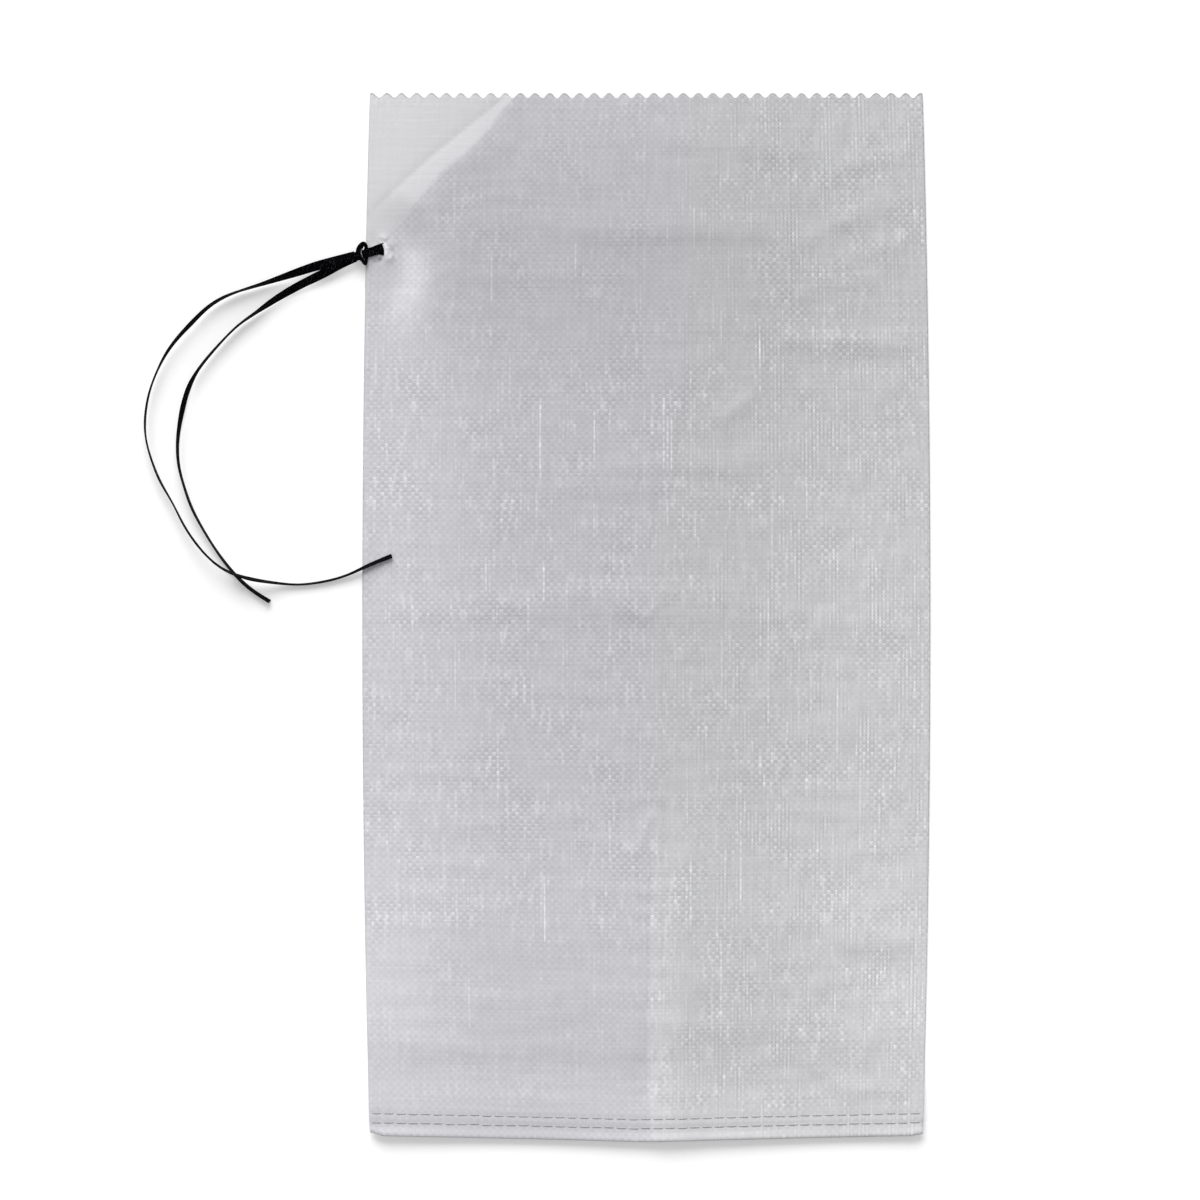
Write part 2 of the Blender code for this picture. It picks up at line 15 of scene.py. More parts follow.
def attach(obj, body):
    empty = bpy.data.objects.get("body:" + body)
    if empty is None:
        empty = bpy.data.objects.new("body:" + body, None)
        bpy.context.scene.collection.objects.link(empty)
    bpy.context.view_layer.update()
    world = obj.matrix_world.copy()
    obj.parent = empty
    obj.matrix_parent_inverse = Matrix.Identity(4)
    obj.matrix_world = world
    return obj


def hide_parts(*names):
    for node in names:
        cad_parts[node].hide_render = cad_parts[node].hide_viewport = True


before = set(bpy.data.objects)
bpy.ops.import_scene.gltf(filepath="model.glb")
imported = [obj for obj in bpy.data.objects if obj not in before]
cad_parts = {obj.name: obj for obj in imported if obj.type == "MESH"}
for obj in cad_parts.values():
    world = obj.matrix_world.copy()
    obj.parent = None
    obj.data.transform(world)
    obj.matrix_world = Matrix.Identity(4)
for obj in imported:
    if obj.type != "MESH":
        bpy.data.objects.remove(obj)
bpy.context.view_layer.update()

MM = 0.001

# Bag, as the frame's own node has it
BAG_LENGTH = 0.6650
END_WIDTH = 0.3500
BELLY_WIDTH = 0.3600
FOLD_BOW_POWER = 0.8
CLOTH = 0.0003
PUFF = 0.0100
MOUTH_PUFF = 0.0085
HEM_TAPER = 0.130
MOUTH_TAPER = 0.120
BELLY_POWER = 2.4
EDGE_TAPER = 0.018
HEM_DEPTH = 0.0200
HEM_BOW = 0.0042
HEM_BOW_SOFTNESS = 0.10
HEM_BOW_POWER = 0.8
BOW_REACH = 0.300
HEM_EDGE_FLAT = 0.002
HEM_STEP = 0.030
TOOTH_PITCH = 0.0094
TOOTH_DEPTH = 0.0033
MOUTH_Y = BAG_LENGTH / 2
HEM_TOP = BAG_LENGTH - HEM_DEPTH

# Layers of cloth
LAYER = 0.00050  # from the middle of one pressed layer to the middle of the next
SIDE_FOLD_OPENING = 0.0014  # the springy side folds stay a little open
HEM_CENTRE_Z = 0.00185
HEM_FOLD_REACH = 1.5 * LAYER + CLOTH / 2
FLOOR_LEVEL = CLOTH / 2
MOUTH_TRIM = 0.0009  # the front's teeth stop this short of the stated length
BACK_MOUTH_REACH = 0.0006  # the back layer's teeth show this much past the front ones
HEM_CURL = 0.0021  # the hem stands off the floor, and its folded edge curls up by this much more
EDGE_CURL = 0.0012
FOLD_LIFT = 0.0012  # the old lengthwise fold lifts the hem
LEFT_TUCK = 0.0022  # the hem's corners are tucked in
RIGHT_TUCK = 0.0012
STAND_OFF_SOFTNESS = 0.0004  # how softly the front comes to rest on the back
ROW_PITCH = 0.0044  # rows of the cloth's grid, closer near the hem
HEM_ROW_PITCH = 0.0028
STITCH_ROW_PITCH = 0.00125

# Weave of the cloth
TAPE_PITCH = 0.00239  # from one flat tape to the next, both ways
ONE_WAVE = math.pi / 10  # scale at which a Wave texture repeats once in a unit
# What the cloth's material reads from its points
CLOTH_LOOKS = ("tone_and_painted_light", "weave_relief", "neutral_share", "standing_tape_highlight", "cut_rim_painted_shade")

# Tie
TAPE_WIDTH = 0.0060
TAPE_THICKNESS = 0.0006
TIE_DROP = 0.0994
TIE_INSET = 0.0125
TIE_ANGLE = math.radians(11.5)
TIE_PINCH = 0.012
TIE_PINCH_FADE = 0.030
TIE_LIFT = 0.0014
TAPE_CLEARANCE = 0.0002  # between a tape and the cloth under it
FLOOR_CLEARANCE = 0.0001
HOLE_ALONG = -0.0024  # from the tie's stated place to the middle of the hole
HOLE_HALF_LENGTH = 0.0013
HOLE_HALF_WIDTH = 0.0041
RIB_PITCH = 0.0011  # slanting ribs of the tie's weave
KNOT_EXIT = 0.0198  # from the hole back to where the two tails leave the knot

# Hem stitching
THREAD = 0.0010
PLY_PITCH = 0.0009  # from one twisted ply of the thread to the next
STITCH_PITCH = 0.0077
STITCH_GROOVE = 0.00022  # how far a stitch pulls the front down
STITCH_ROWS = (("upper_stitch_row", 0.0143), ("lower_stitch_row", 0.0086))

# Photograph's frame
VIEW_CENTRE = (-0.02935, 0.01078)
VIEW_WIDTH = 0.7608
CAMERA_HEIGHT = 5.0
SENSOR = 36.0

# Light: the share that a white matt surface gives back of the softbox and of the room
SOFTBOX_LIGHT = 0.56
ROOM_LIGHT = 0.44
SOFTBOX_HEIGHT = math.radians(33)
SOFTBOX_SIDE = math.radians(12)  # from the bag's mouth round to its left side
SOFTBOX_SIZE = math.radians(48)
FLOOR_GLOW = 0.24

# Route of each tail, as in the frame: points along the tape from the knot to the cut end
LONG_TAIL = (
    (-0.2080, 0.2227, 0.0031), (-0.2190, 0.2190, 0.0031), (-0.2320, 0.2147, 0.0031),
    (-0.2450, 0.2104, 0.0031), (-0.2580, 0.2065, 0.0031), (-0.2690, 0.2022, 0.0031),
    (-0.2790, 0.1955, 0.0031), (-0.2880, 0.1862, 0.0031), (-0.2968, 0.1770, 0.0031),
    (-0.3045, 0.1667, 0.0031), (-0.3098, 0.1560, 0.0031), (-0.3135, 0.1470, 0.0031),
    (-0.3160, 0.1380, 0.0031), (-0.3178, 0.1240, 0.0031), (-0.3172, 0.1130, 0.0031),
    (-0.3145, 0.1025, 0.0031), (-0.3083, 0.0862, 0.0031), (-0.3000, 0.0723, 0.0031),
    (-0.2930, 0.0580, 0.0040), (-0.2850, 0.0463, 0.0068), (-0.2770, 0.0372, 0.0092),
    (-0.2680, 0.0300, 0.0097), (-0.2590, 0.0262, 0.0097), (-0.2500, 0.0238, 0.0089),
    (-0.2400, 0.0222, 0.0063), (-0.2300, 0.0210, 0.0039), (-0.2200, 0.0203, 0.0031),
    (-0.2040, 0.0224, 0.0031), (-0.1897, 0.0263, 0.0037), (-0.1757, 0.0330, 0.0055),
    (-0.1612, 0.0387, 0.0071),
)
SHORT_TAIL = (
    (-0.2080, 0.2157, 0.0031), (-0.2160, 0.2122, 0.0031), (-0.2255, 0.2070, 0.0031),
    (-0.2385, 0.1992, 0.0031), (-0.2475, 0.1925, 0.0031), (-0.2575, 0.1860, 0.0031),
    (-0.2665, 0.1772, 0.0031), (-0.2753, 0.1675, 0.0031), (-0.2842, 0.1565, 0.0031),
    (-0.2903, 0.1450, 0.0031), (-0.2937, 0.1325, 0.0031), (-0.2960, 0.1205, 0.0031),
    (-0.2972, 0.1078, 0.0031), (-0.2963, 0.0950, 0.0031), (-0.2935, 0.0850, 0.0031),
    (-0.2887, 0.0703, 0.0031), (-0.2823, 0.0580, 0.0031), (-0.2753, 0.0463, 0.0031),
    (-0.2680, 0.0357, 0.0031), (-0.2607, 0.0268, 0.0031), (-0.2537, 0.0198, 0.0031),
    (-0.2467, 0.0146, 0.0031), (-0.2385, 0.0097, 0.0031),
)
TAIL_ON_FLOOR = 0.0031  # height that the routes above give to a stretch on the floor
TAIL_LEAD = 0.0050
TAIL_STEP = 0.0020
LONG_TAIL_ASIDE = -0.0004  # each tail's middle beside the tie's line where it leaves the knot
SHORT_TAIL_ASIDE = -0.0013
LONG_TAIL_RISE = 0.0050  # height of each tail there, over its height on the floor
SHORT_TAIL_RISE = 0.0042
RISE_REACH = 0.065
# How high each tail hovers over the floor, in millimetres, at some points of its route
LONG_TAIL_HOVER = ((0, 0.0), (6, 1.5), (10, 3.0), (20, 2.6), (24, 0.6), (27, 0.0), (32, 0.0))
SHORT_TAIL_HOVER = ((0, 0.0), (6, 1.2), (10, 2.4), (17, 2.0), (20, 0.4), (24, 0.0))
# Share of its width that each tape keeps where it is folded lengthwise
LONG_GATHER = ((0, 1.0), (7, 1.0), (11, 0.75), (22, 0.75), (25, 0.8), (27, 0.55), (32, 0.55))
SHORT_GATHER = ((0, 1.0), (6, 1.0), (9, 0.8), (24, 0.8))
# How wide each tape shows from above at each point of its route, in millimetres: it lies turned on its edge
LONG_SHOWN = (
    6.0, 6.0, 6.0, 5.2, 3.6, 2.2, 1.3, 1.9, 2.3, 2.7, 2.2, 1.8, 1.1, 1.1, 1.3, 1.4, 1.0, 1.2, 1.5, 1.0, 1.3,
    1.4, 1.3, 1.6, 2.0, 2.5, 2.1, 1.7, 1.4, 1.7, 1.6, 2.3, 2.9,
)
SHORT_SHOWN = (
    6.0, 6.0, 5.7, 5.2, 5.0, 3.7, 2.0, 1.3, 1.2, 1.6, 1.8, 3.1, 3.3, 2.5, 2.0, 1.7, 1.5, 1.7, 1.5, 1.4, 1.8,
    2.0, 2.4, 2.4, 2.6,
)


def smooth(share):
    share = np.clip(share, 0.0, 1.0)
    return share * share * (3.0 - 2.0 * share)


def hump(distance, width):
    return np.exp(-((distance / width) ** 2))


# Form of the cloth

# Creases pressed into the front, in millimetres: start, end, height, width on the side to the left of
# the run from start to end, and width on its other side.
PACKING_CREASES = (
    # the fold across the middle, where the bag was folded in two
    ((-178, 4.0), (6, 3.6), 0.48, 12.0, 6.0), ((-14, 3.6), (178, -7.0), 0.42, 12.0, 6.0),
    # across the right of the bag
    ((116, -206), (178, -208), 0.75, 10.0, 5.0), ((97, -281), (124, -297), 0.6, 6.0, 4.0),
    ((120, -299), (178, -302), 0.7, 8.0, 5.0),
    # across the upper half
    ((-52, 243), (76, 243), 0.8, 14.0, 4.5), ((84, 173), (176, 171), 0.8, 9.0, 4.0),
    ((-30, 93), (74, 94), 0.6, 9.0, 3.5), ((-60, 80), (20, 81), 0.45, 8.0, 3.0),
    ((-64, 16.5), (66, 18), 0.5, 3.5, 8.0), ((-120, 214), (-40, 216), 0.22, 8.0, 3.5),
    ((10, 300), (80, 297), 0.4, 8.0, 3.5),
    # above the hem
    ((-176, -310), (-8, -308), 0.5, 9.0, 3.5), ((-170, -276), (-60, -273), 0.35, 8.0, 3.5),
    ((-150, -240), (-30, -243), 0.30, 8.0, 3.5),
)
PULL_CREASES = (
    # from the tie down the bag
    ((-160, 205), (-156, 150), 0.5, 5.0, 6.0),
    # fan of wrinkles at the upper right
    ((97, 236), (152, 268), 0.6, 3.5, 6.0), ((104, 268), (132, 290), 0.6, 3.5, 5.5),
    ((124, 287), (176, 296), 0.6, 3.5, 6.0), ((86, 285), (104, 312), 0.4, 3.5, 5.0),
    ((112, 218), (172, 243), 0.5, 4.0, 7.0), ((128, 248), (176, 268), 0.4, 3.5, 5.0),
    ((92, 205), (146, 216), 0.5, 3.0, 6.0), ((46, 124), (69, 142), 0.9, 3.0, 4.5),
    ((58, 102), (82, 116), 0.4, 2.6, 4.5),
    # about the star in the middle
    ((-23, -28), (-16, -13), 0.5, 2.8, 3.6), ((20, -28), (32, -13), 0.5, 2.8, 3.6),
    ((-3, -4), (7, 9), 0.4, 2.0, 2.4), ((-9, 4), (-1, -3), 0.35, 2.0, 2.4),
    # down the right side
    ((72, -60), (83, -12), 0.6, 2.8, 4.0), ((90, -198), (98, -152), 0.6, 2.8, 4.0),
    ((108, -188), (96, -158), 0.6, 2.8, 3.5), ((122, -192), (112, -162), 0.5, 2.8, 3.5),
    ((136, -286), (144, -262), 0.7, 3.0, 5.0), ((96, -262), (112, -288), 0.6, 4.0, 4.0),
    ((-7, -152), (3, -124), 0.5, 2.6, 3.2),
)
TAPE_RIDGES = (
    # single tapes that stand up and catch the light, and get a painted highlight along them: x, lower y, upper
    # y and height
    (-64.9, 86, 139, 0.50), (-64.3, 9, 36, 0.55), (-64.4, -206, -164, 0.50), (-31.9, 100, 133, 0.50),
    (-31.2, 47, 76, 0.36), (10.6, 92, 140, 0.55), (15.3, 90, 128, 0.45), (12.9, 55, 73, 0.40),
    (-23.6, 22, 43, 0.40), (-98.5, 15, 38, 0.36), (30.2, 52, 64, 0.30), (20.1, 35, 44, 0.30),
    (70.2, 139, 184, 0.40), (78.2, 20, 76, 0.30), (76.4, -70, 14, 0.26), (59.4, -181, -139, 0.45),
    (98.0, 60, 120, 0.28), (110.0, 150, 210, 0.28), (126.0, 90, 160, 0.30), (141.0, -40, 40, 0.28),
    (119.0, -90, -20, 0.28), (152.0, 30, 120, 0.26), (132.0, -150, -96, 0.30), (-86.0, 130, 168, 0.28),
    (-96.0, 198, 234, 0.30), (-44.0, 212, 238, 0.36), (-118.0, -60, -10, 0.24), (-92.0, -120, -84, 0.28),
    (28.0, -200, -150, 0.30), (46.0, -270, -214, 0.28), (-32.0, -250, -210, 0.26),
    (-110.0, -262, -226, 0.26), (30.0, 232, 262, 0.30), (-4.0, 190, 214, 0.26), (52.0, 268, 300, 0.26),
)
# The flap that the tie pulls up: its soft ridge and the shallow line behind it, from the tie to the mouth
FLAP_RIDGE = (
    (-0.1600, 0.2446), (-0.1536, 0.2511), (-0.1471, 0.2607), (-0.1390, 0.2706), (-0.1309, 0.2802),
    (-0.1212, 0.2883), (-0.1106, 0.2972), (-0.1033, 0.3045), (-0.0968, 0.3126), (-0.0839, 0.3305),
)
FLAP_LINE = ((-0.1790, 0.2550), (-0.1673, 0.2650), (-0.1357, 0.2932), (-0.0900, 0.3300))
CENTRE_FOLD_X = 0.0023
CENTRE_FOLD_TOP = -0.100
CENTRE_FOLD_HEIGHT = 0.0012
FLAP_HEIGHT = 0.0017
STREAK_HEIGHT = 0.0008
FOLD_CREST_X = 0.0115  # where the old lengthwise fold lifts the hem most

# Soft differences in how white the cloth looks, most of them painted light and shade: middle, reach across,
# reach along and change.
TONE_AND_PAINTED_LIGHT_SPOTS = (
    ((-0.026, 0.236), 0.105, 0.080, -0.120), ((-0.010, 0.110), 0.110, 0.120, -0.035),
    ((-0.115, 0.235), 0.036, 0.055, -0.045), ((0.140, 0.235), 0.075, 0.140, -0.105),
    ((-0.122, 0.205), 0.040, 0.050, -0.050), ((-0.164, 0.219), 0.012, 0.012, -0.070),
    ((-0.015, 0.000), 0.085, 0.130, -0.028), ((-0.003, -0.2365), 0.080, 0.033, 0.050),
    ((0.0175, -0.160), 0.0035, 0.030, 0.050), ((0.000, -0.243), 0.500, 0.035, 0.065),
    # soiled spots about the tie's hole, with the painted shade and painted highlights of its puckers
    ((-0.1702, 0.2274), 0.0026, 0.0015, -0.560), ((-0.1720, 0.2257), 0.0012, 0.0010, -0.360),
    ((-0.1686, 0.2268), 0.0010, 0.0012, -0.240), ((-0.1666, 0.2279), 0.0009, 0.0009, 0.220),
    ((-0.1737, 0.2284), 0.0014, 0.0010, 0.350), ((-0.1655, 0.2350), 0.0010, 0.0032, 0.300),
    ((-0.1600, 0.2280), 0.0012, 0.0030, -0.100), ((-0.1610, 0.2370), 0.0035, 0.0010, -0.070),
    # rough spots at the two ends of the hem's stitching
    ((-0.1701, -0.3113), 0.0016, 0.0013, -0.130), ((-0.1625, -0.3113), 0.0010, 0.0010, -0.110),
    ((-0.1700, -0.3166), 0.0016, 0.0010, -0.110), ((-0.1680, -0.3195), 0.0020, 0.0013, 0.080),
    ((0.1745, -0.3195), 0.0006, 0.0034, -0.220), ((0.1716, -0.3222), 0.0009, 0.0022, 0.130),
    ((0.1700, -0.3170), 0.0010, 0.0008, -0.120),
)
# The streak that the tie's pull raises below its hole, made bright with painted light
PULL_STREAK = (
    (-0.1555, 0.2360), (-0.1480, 0.2240), (-0.1462, 0.2120), (-0.1480, 0.1980), (-0.1520, 0.1880),
    (-0.1565, 0.1760), (-0.1605, 0.1630),
)
# Uneven relief all over the front: its height, one hump's width and length, and the seed
RIPPLES = ((0.00040, 0.016, 0.060, 3.1), (0.00022, 0.0062, 0.034, 8.7), (0.00022, 0.009, 0.007, 4.4))
# Places with a closer grid, in millimetres: lower and upper x, lower and upper y
FINE_PLACES = (
    (-173, -78, 190, 327), (-176, 176, -7, 11), (-8, 16, -307, -105), (-176, -156, -330, -304),
    (162, 176, -330, -308),
)
HOLE_REACH = 0.0095


def half_width(down):
    share = np.clip(down / BAG_LENGTH, 0.0, 1.0)
    bow = np.maximum(np.sin(np.pi * share), 0.0) ** FOLD_BOW_POWER
    return (END_WIDTH + (BELLY_WIDTH - END_WIDTH) * bow) / 2


def hem_rise(x):
    share = np.hypot(x / (END_WIDTH / 2), HEM_BOW_SOFTNESS) - HEM_BOW_SOFTNESS
    return HEM_BOW * np.clip(share, 0.0, 1.0) ** HEM_BOW_POWER


def hem_edge(x):
    return -MOUTH_Y + hem_rise(x)


def cloth_y(x, down):
    reach = smooth(1.0 - (HEM_TOP - down) / BOW_REACH)
    return MOUTH_Y - down + hem_rise(x) * reach


def tie_centre():
    return np.array((-float(half_width(TIE_DROP)) + TIE_INSET, MOUTH_Y - TIE_DROP))


def tie_direction():
    return np.array((math.cos(TIE_ANGLE), math.sin(TIE_ANGLE)))


def tie_place(along, aside, z):
    """A point in the tie's own directions: along it from its stated place, across it, and up."""
    run = tie_direction()
    flat = tie_centre() + run * along + np.array((-run[1], run[0])) * aside
    return Vector((flat[0], flat[1], z))


def tie_pinch(x, y):
    middle = tie_centre() - tie_direction() * TIE_INSET / 2
    reach = np.hypot(x - middle[0], y - middle[1])
    return 1.0 - smooth((reach - TIE_PINCH) / TIE_PINCH_FADE)


def back_level(x, y, down):
    """Height of the middle of the back layer: on the floor, up on the tie and up on the turned hem."""
    hem_level = HEM_CENTRE_Z + LAYER / 2
    on_hem = smooth(1.0 - (HEM_TOP - down - HEM_EDGE_FLAT) / HEM_STEP)
    lifted = FLOOR_LEVEL + TIE_LIFT * tie_pinch(x, y)
    return lifted + (hem_level - lifted) * on_hem


def beside_run(x, y, start, end):
    """Distance to the left of a straight run, and the share of the way along it."""
    run_x, run_y = end[0] - start[0], end[1] - start[1]
    length = math.hypot(run_x, run_y)
    along = ((x - start[0]) * run_x + (y - start[1]) * run_y) / length**2
    aside = (run_x * (y - start[1]) - run_y * (x - start[0])) / length
    return aside, along


def beside_line(x, y, line):
    """Distance to the left of a bent line, and the share of the way along it. Its ends run on."""
    distance = np.full(np.shape(x), np.inf)
    signed, share = np.zeros_like(distance), np.zeros_like(distance)
    runs = len(line) - 1
    for number, (start, end) in enumerate(zip(line, line[1:])):
        aside, along = beside_run(x, y, start, end)
        held = np.clip(along, -9.0 if number == 0 else 0.0, 9.0 if number == runs - 1 else 1.0)
        length = math.hypot(end[0] - start[0], end[1] - start[1])
        reach = np.hypot(aside, (along - held) * length)
        nearer = reach < distance
        distance = np.where(nearer, reach, distance)
        signed = np.where(nearer, np.copysign(reach, aside), signed)
        share = np.where(nearer, (number + held) / runs, share)
    return signed, share


def crease_height(x, y, crease):
    start, end, height, left_width, right_width = crease
    fade = 0.22
    aside, along = beside_run(x / MM, y / MM, start, end)
    ends = smooth((along + fade / 2) / fade) * smooth((1.0 + fade / 2 - along) / fade)
    return height * MM * ends * hump(aside, np.where(aside > 0.0, left_width, right_width))


def tape_ridge_height(x, y, ridge):
    middle, low, high, height = ridge
    fade = 7.0
    ends = smooth((y / MM - low) / fade) * smooth((high - y / MM) / fade)
    return height * MM * ends * np.clip(1.0 - np.abs(x / MM - middle) / 2.4, 0.0, 1.0)


def flap_height(x, y):
    """The fold from the tie to the mouth: up from the line behind it to a ridge, and then slowly down."""
    past_ridge, along = beside_line(x, y, FLAP_RIDGE)
    past_line, _ = beside_line(x, y, FLAP_LINE)
    top = FLAP_HEIGHT * smooth((along + 0.10) / 0.35)
    band = np.clip(-past_line / np.maximum(past_ridge - past_line, 0.0005), 0.0, 1.0)
    top = top * smooth((1.25 - along) / 0.6)
    slope = np.where(past_line > 0.0, 0.0, band) - 0.10 * hump(past_line, 0.0025)
    return top * np.where(past_ridge > 0.0, slope, hump(past_ridge, 0.016))


def centre_fold_height(x, y):
    """The old lengthwise fold: flat up to it, then a quick rise and a slow fall to the right."""
    along = smooth((CENTRE_FOLD_TOP - y) / 0.090)
    past = (x - CENTRE_FOLD_X) / MM
    rise = smooth(past / 7.0) * hump(np.maximum(past - 8.0, 0.0), 26.0)
    return CENTRE_FOLD_HEIGHT * along * rise - 0.0002 * along * hump(past, 3.5)


def ripple(x, y, width, length, seed):
    """Soft irregular relief from -1 to 1: one hump spans this width and length."""
    flat = zip(np.ravel(x), np.ravel(y))
    values = [noise.noise((px / width, py / length, seed)) for px, py in flat]
    return np.array(values).reshape(np.shape(x))


def front_relief(x, y):
    """Height that handling has pressed into the front, in full away from the side folds and the hem."""
    total = np.zeros_like(x)
    for crease in PACKING_CREASES + PULL_CREASES:
        total += crease_height(x, y, crease)
    for ridge in TAPE_RIDGES:
        total += tape_ridge_height(x, y, ridge)
    total += flap_height(x, y) + centre_fold_height(x, y)
    off_streak, along_streak = beside_line(x, y, PULL_STREAK)
    streak_ends = smooth((along_streak + 0.05) / 0.25) * smooth((1.1 - along_streak) / 0.6)
    off_top = off_streak + 0.0045
    total += STREAK_HEIGHT * streak_ends * hump(off_top, np.where(off_top > 0.0, 0.0090, 0.0050))
    flap, _ = beside_line(x, y, FLAP_RIDGE)
    off_flap = smooth((0.004 - flap) / 0.010)
    rough = sum(height * ripple(x, y, width, length, seed) for height, width, length, seed in RIPPLES)
    lower = smooth((0.02 - y) / 0.15)
    rough += 0.00030 * (0.4 + lower) * ripple(x, y, 0.050, 0.0085, 5.3)
    right = smooth((x - 0.06) / 0.05)
    run, rise = 0.85, 0.53  # the folds of the upper right slant up by this much for that
    rough += 0.00026 * right * ripple(x * run + y * rise, y * run - x * rise, 0.040, 0.012, 1.9)
    rough += 0.00030 * right * ripple(x, y, 0.0055, 0.018, 6.6)
    return total + (0.15 + 0.85 * off_flap) * rough


def hole_offset(x, y):
    """Place in the tie's directions from the middle of its hole: along it and across it."""
    centre = tie_place(HOLE_ALONG, 0.0, 0.0)
    run = tie_direction()
    return (
        (x - centre.x) * run[0] + (y - centre.y) * run[1],
        (y - centre.y) * run[0] - (x - centre.x) * run[1],
    )


def near_hole(vert):
    return math.hypot(*hole_offset(vert.co.x, vert.co.y)) < HOLE_REACH


def hole_pucker(x, y):
    """Small puckers that the tape's pull leaves about its hole, most of them past its far side."""
    along, aside = hole_offset(x, y)
    reach, around = np.hypot(along, aside), np.arctan2(aside, along)
    ring = 0.0007 * hump(reach - 0.0075, 0.0020) * smooth(along / 0.004 + 0.5)
    spokes = 0.00035 * np.sin(5 * around + 0.6) * hump(reach - 0.0060, 0.0035)
    crumple = 0.0007 * ripple(x, y, 0.0021, 0.0017, 9.3) * hump(reach - 0.0055, 0.0034)
    return ring + spokes + crumple + 0.0004 * hump(reach - 0.0035, 0.0015)


def front_gap(x, y, down, across):
    """Distance between the middles of the front and back layers."""
    belly = 1.0 - np.abs(across) ** BELLY_POWER
    to_hem = smooth((HEM_TOP - down) / HEM_TAPER)
    to_mouth = smooth(down / MOUTH_TAPER)
    puff = MOUTH_PUFF + (PUFF - MOUTH_PUFF) * to_mouth
    off_fold = smooth((1.0 - np.abs(across)) * BELLY_WIDTH / 2 / EDGE_TAPER)
    near_hem = smooth((HEM_TOP + 0.002 - down) / 0.012)
    pinch = tie_pinch(x, y)
    opening = LAYER + (SIDE_FOLD_OPENING - LAYER) * to_hem * (1.0 - pinch)
    relief = off_fold * front_relief(x, y) * near_hem * (1.0 - 0.75 * pinch) + hole_pucker(x, y)
    stand_off = to_hem * (1.0 - pinch) * puff * belly + relief
    return opening + np.logaddexp(0.0, stand_off / STAND_OFF_SOFTNESS) * STAND_OFF_SOFTNESS


def corner_tuck(x):
    """How far the lower left corner is tucked in, and the lower right one a little."""
    return LEFT_TUCK * smooth((-0.1655 - x) / 0.0095) + RIGHT_TUCK * smooth((x - 0.1670) / 0.0080)


def fold_radius(x, y, down):
    to_hem = smooth((HEM_TOP - down) / HEM_TAPER)
    free = 1.0 - tie_pinch(x, y)
    return (LAYER + (SIDE_FOLD_OPENING - LAYER) * to_hem * free) / 2


def hem_lift(x, y):
    """How far all layers stand up along the hem: its edge curls, and the old lengthwise fold lifts it."""
    off_crest = x - FOLD_CREST_X
    fold = FOLD_LIFT * hump(off_crest, np.where(off_crest < 0.0, 0.0065, 0.020)) * smooth((-0.275 - y) / 0.040)
    edge_y = hem_edge(x)
    curl = HEM_CURL * smooth((edge_y + 0.034 - y) / 0.028)
    curl = curl + EDGE_CURL * smooth((edge_y + 0.0075 - y) / 0.0075)
    return fold + curl * (1.0 + 0.25 * np.sin(x * 31.0 + 0.8))


def stitch_groove(x, y):
    """How far the two rows of stitches pull the front down, most under the middle of each stitch."""
    groove = np.zeros_like(x)
    for _, height in STITCH_ROWS:
        off_row = y - (hem_edge(x) + height)
        pull = 0.65 + 0.35 * np.cos(2 * np.pi * x / STITCH_PITCH)
        groove += STITCH_GROOVE * pull * hump(off_row, 0.0013)
    return groove


def cloth_place(across, turn, down, bend, turned):
    """Points of the cloth's middle surface, from arrays of stops round the tube and along it."""
    fold = fold_radius(across * END_WIDTH / 2, MOUTH_Y - down, down)
    edge = half_width(down) - fold - CLOTH / 2
    x = across * edge + np.sign(across) * fold * np.cos(turn)
    y = cloth_y(x, down) + corner_tuck(x) * smooth(1.0 - (BAG_LENGTH - down) / 0.016)
    side = (1.0 + np.sin(turn)) / 2
    z = back_level(x, y, down) + front_gap(x, y, down, across) * side
    on_fold = bend > 0.0
    radius = LAYER + LAYER / 2 * np.sin(turn)
    y = np.where(on_fold, y + turned - radius * np.sin(bend), y)
    z = np.where(on_fold, HEM_CENTRE_Z + radius * np.cos(bend), z)
    z = z - np.where(on_fold, 0.0, side * stitch_groove(x, y))
    return x, y, z + hem_lift(x, y)


def laid_height(x, y, down, across, side):
    """Height of the cloth's middle at a place: side is 1.0 on the front and 0.0 on the back."""
    level = back_level(x, y, down) + front_gap(x, y, down, across) * side
    return level - side * stitch_groove(x, y) + hem_lift(x, y)


def evenly(start, end, pitch):
    count = max(1, math.ceil((end - start) / pitch - 1e-6))
    return [start + (end - start) * step / count for step in range(count)]


def ring_stops():
    """Stops once round the tube: share across, turning angle, and distance round the tube."""
    reach = END_WIDTH / 2 - SIDE_FOLD_OPENING / 2 - CLOTH / 2
    quarter_tooth = TOOTH_PITCH / 4
    steps = int(reach / quarter_tooth)
    front = [-1.0] + [step * quarter_tooth / reach for step in range(-steps, steps + 1)] + [1.0]
    back = [-1.0] + [stop / reach for stop in evenly(-reach, -reach + 0.030, 0.0026)[1:]]
    back += [stop / reach for stop in evenly(-reach + 0.030, reach, 0.0066)] + [1.0]
    quarter = math.pi / 2
    turns = [quarter - math.pi * step / 6 for step in range(1, 6)]
    half_turn = math.pi * SIDE_FOLD_OPENING / 2
    stops = [(share, quarter, share * END_WIDTH / 2) for share in front]
    stops += [(1.0, turn, END_WIDTH / 2 + half_turn * (quarter - turn) / math.pi) for turn in turns]
    back_start = END_WIDTH / 2 + half_turn
    stops += [(share, -quarter, back_start + (1.0 - share) * END_WIDTH / 2) for share in reversed(back)]
    left_start = back_start + END_WIDTH
    stops += [(-1.0, turn, left_start + half_turn * (turn + quarter) / math.pi) for turn in reversed(turns)]
    around = left_start + half_turn + END_WIDTH / 2
    return stops, around


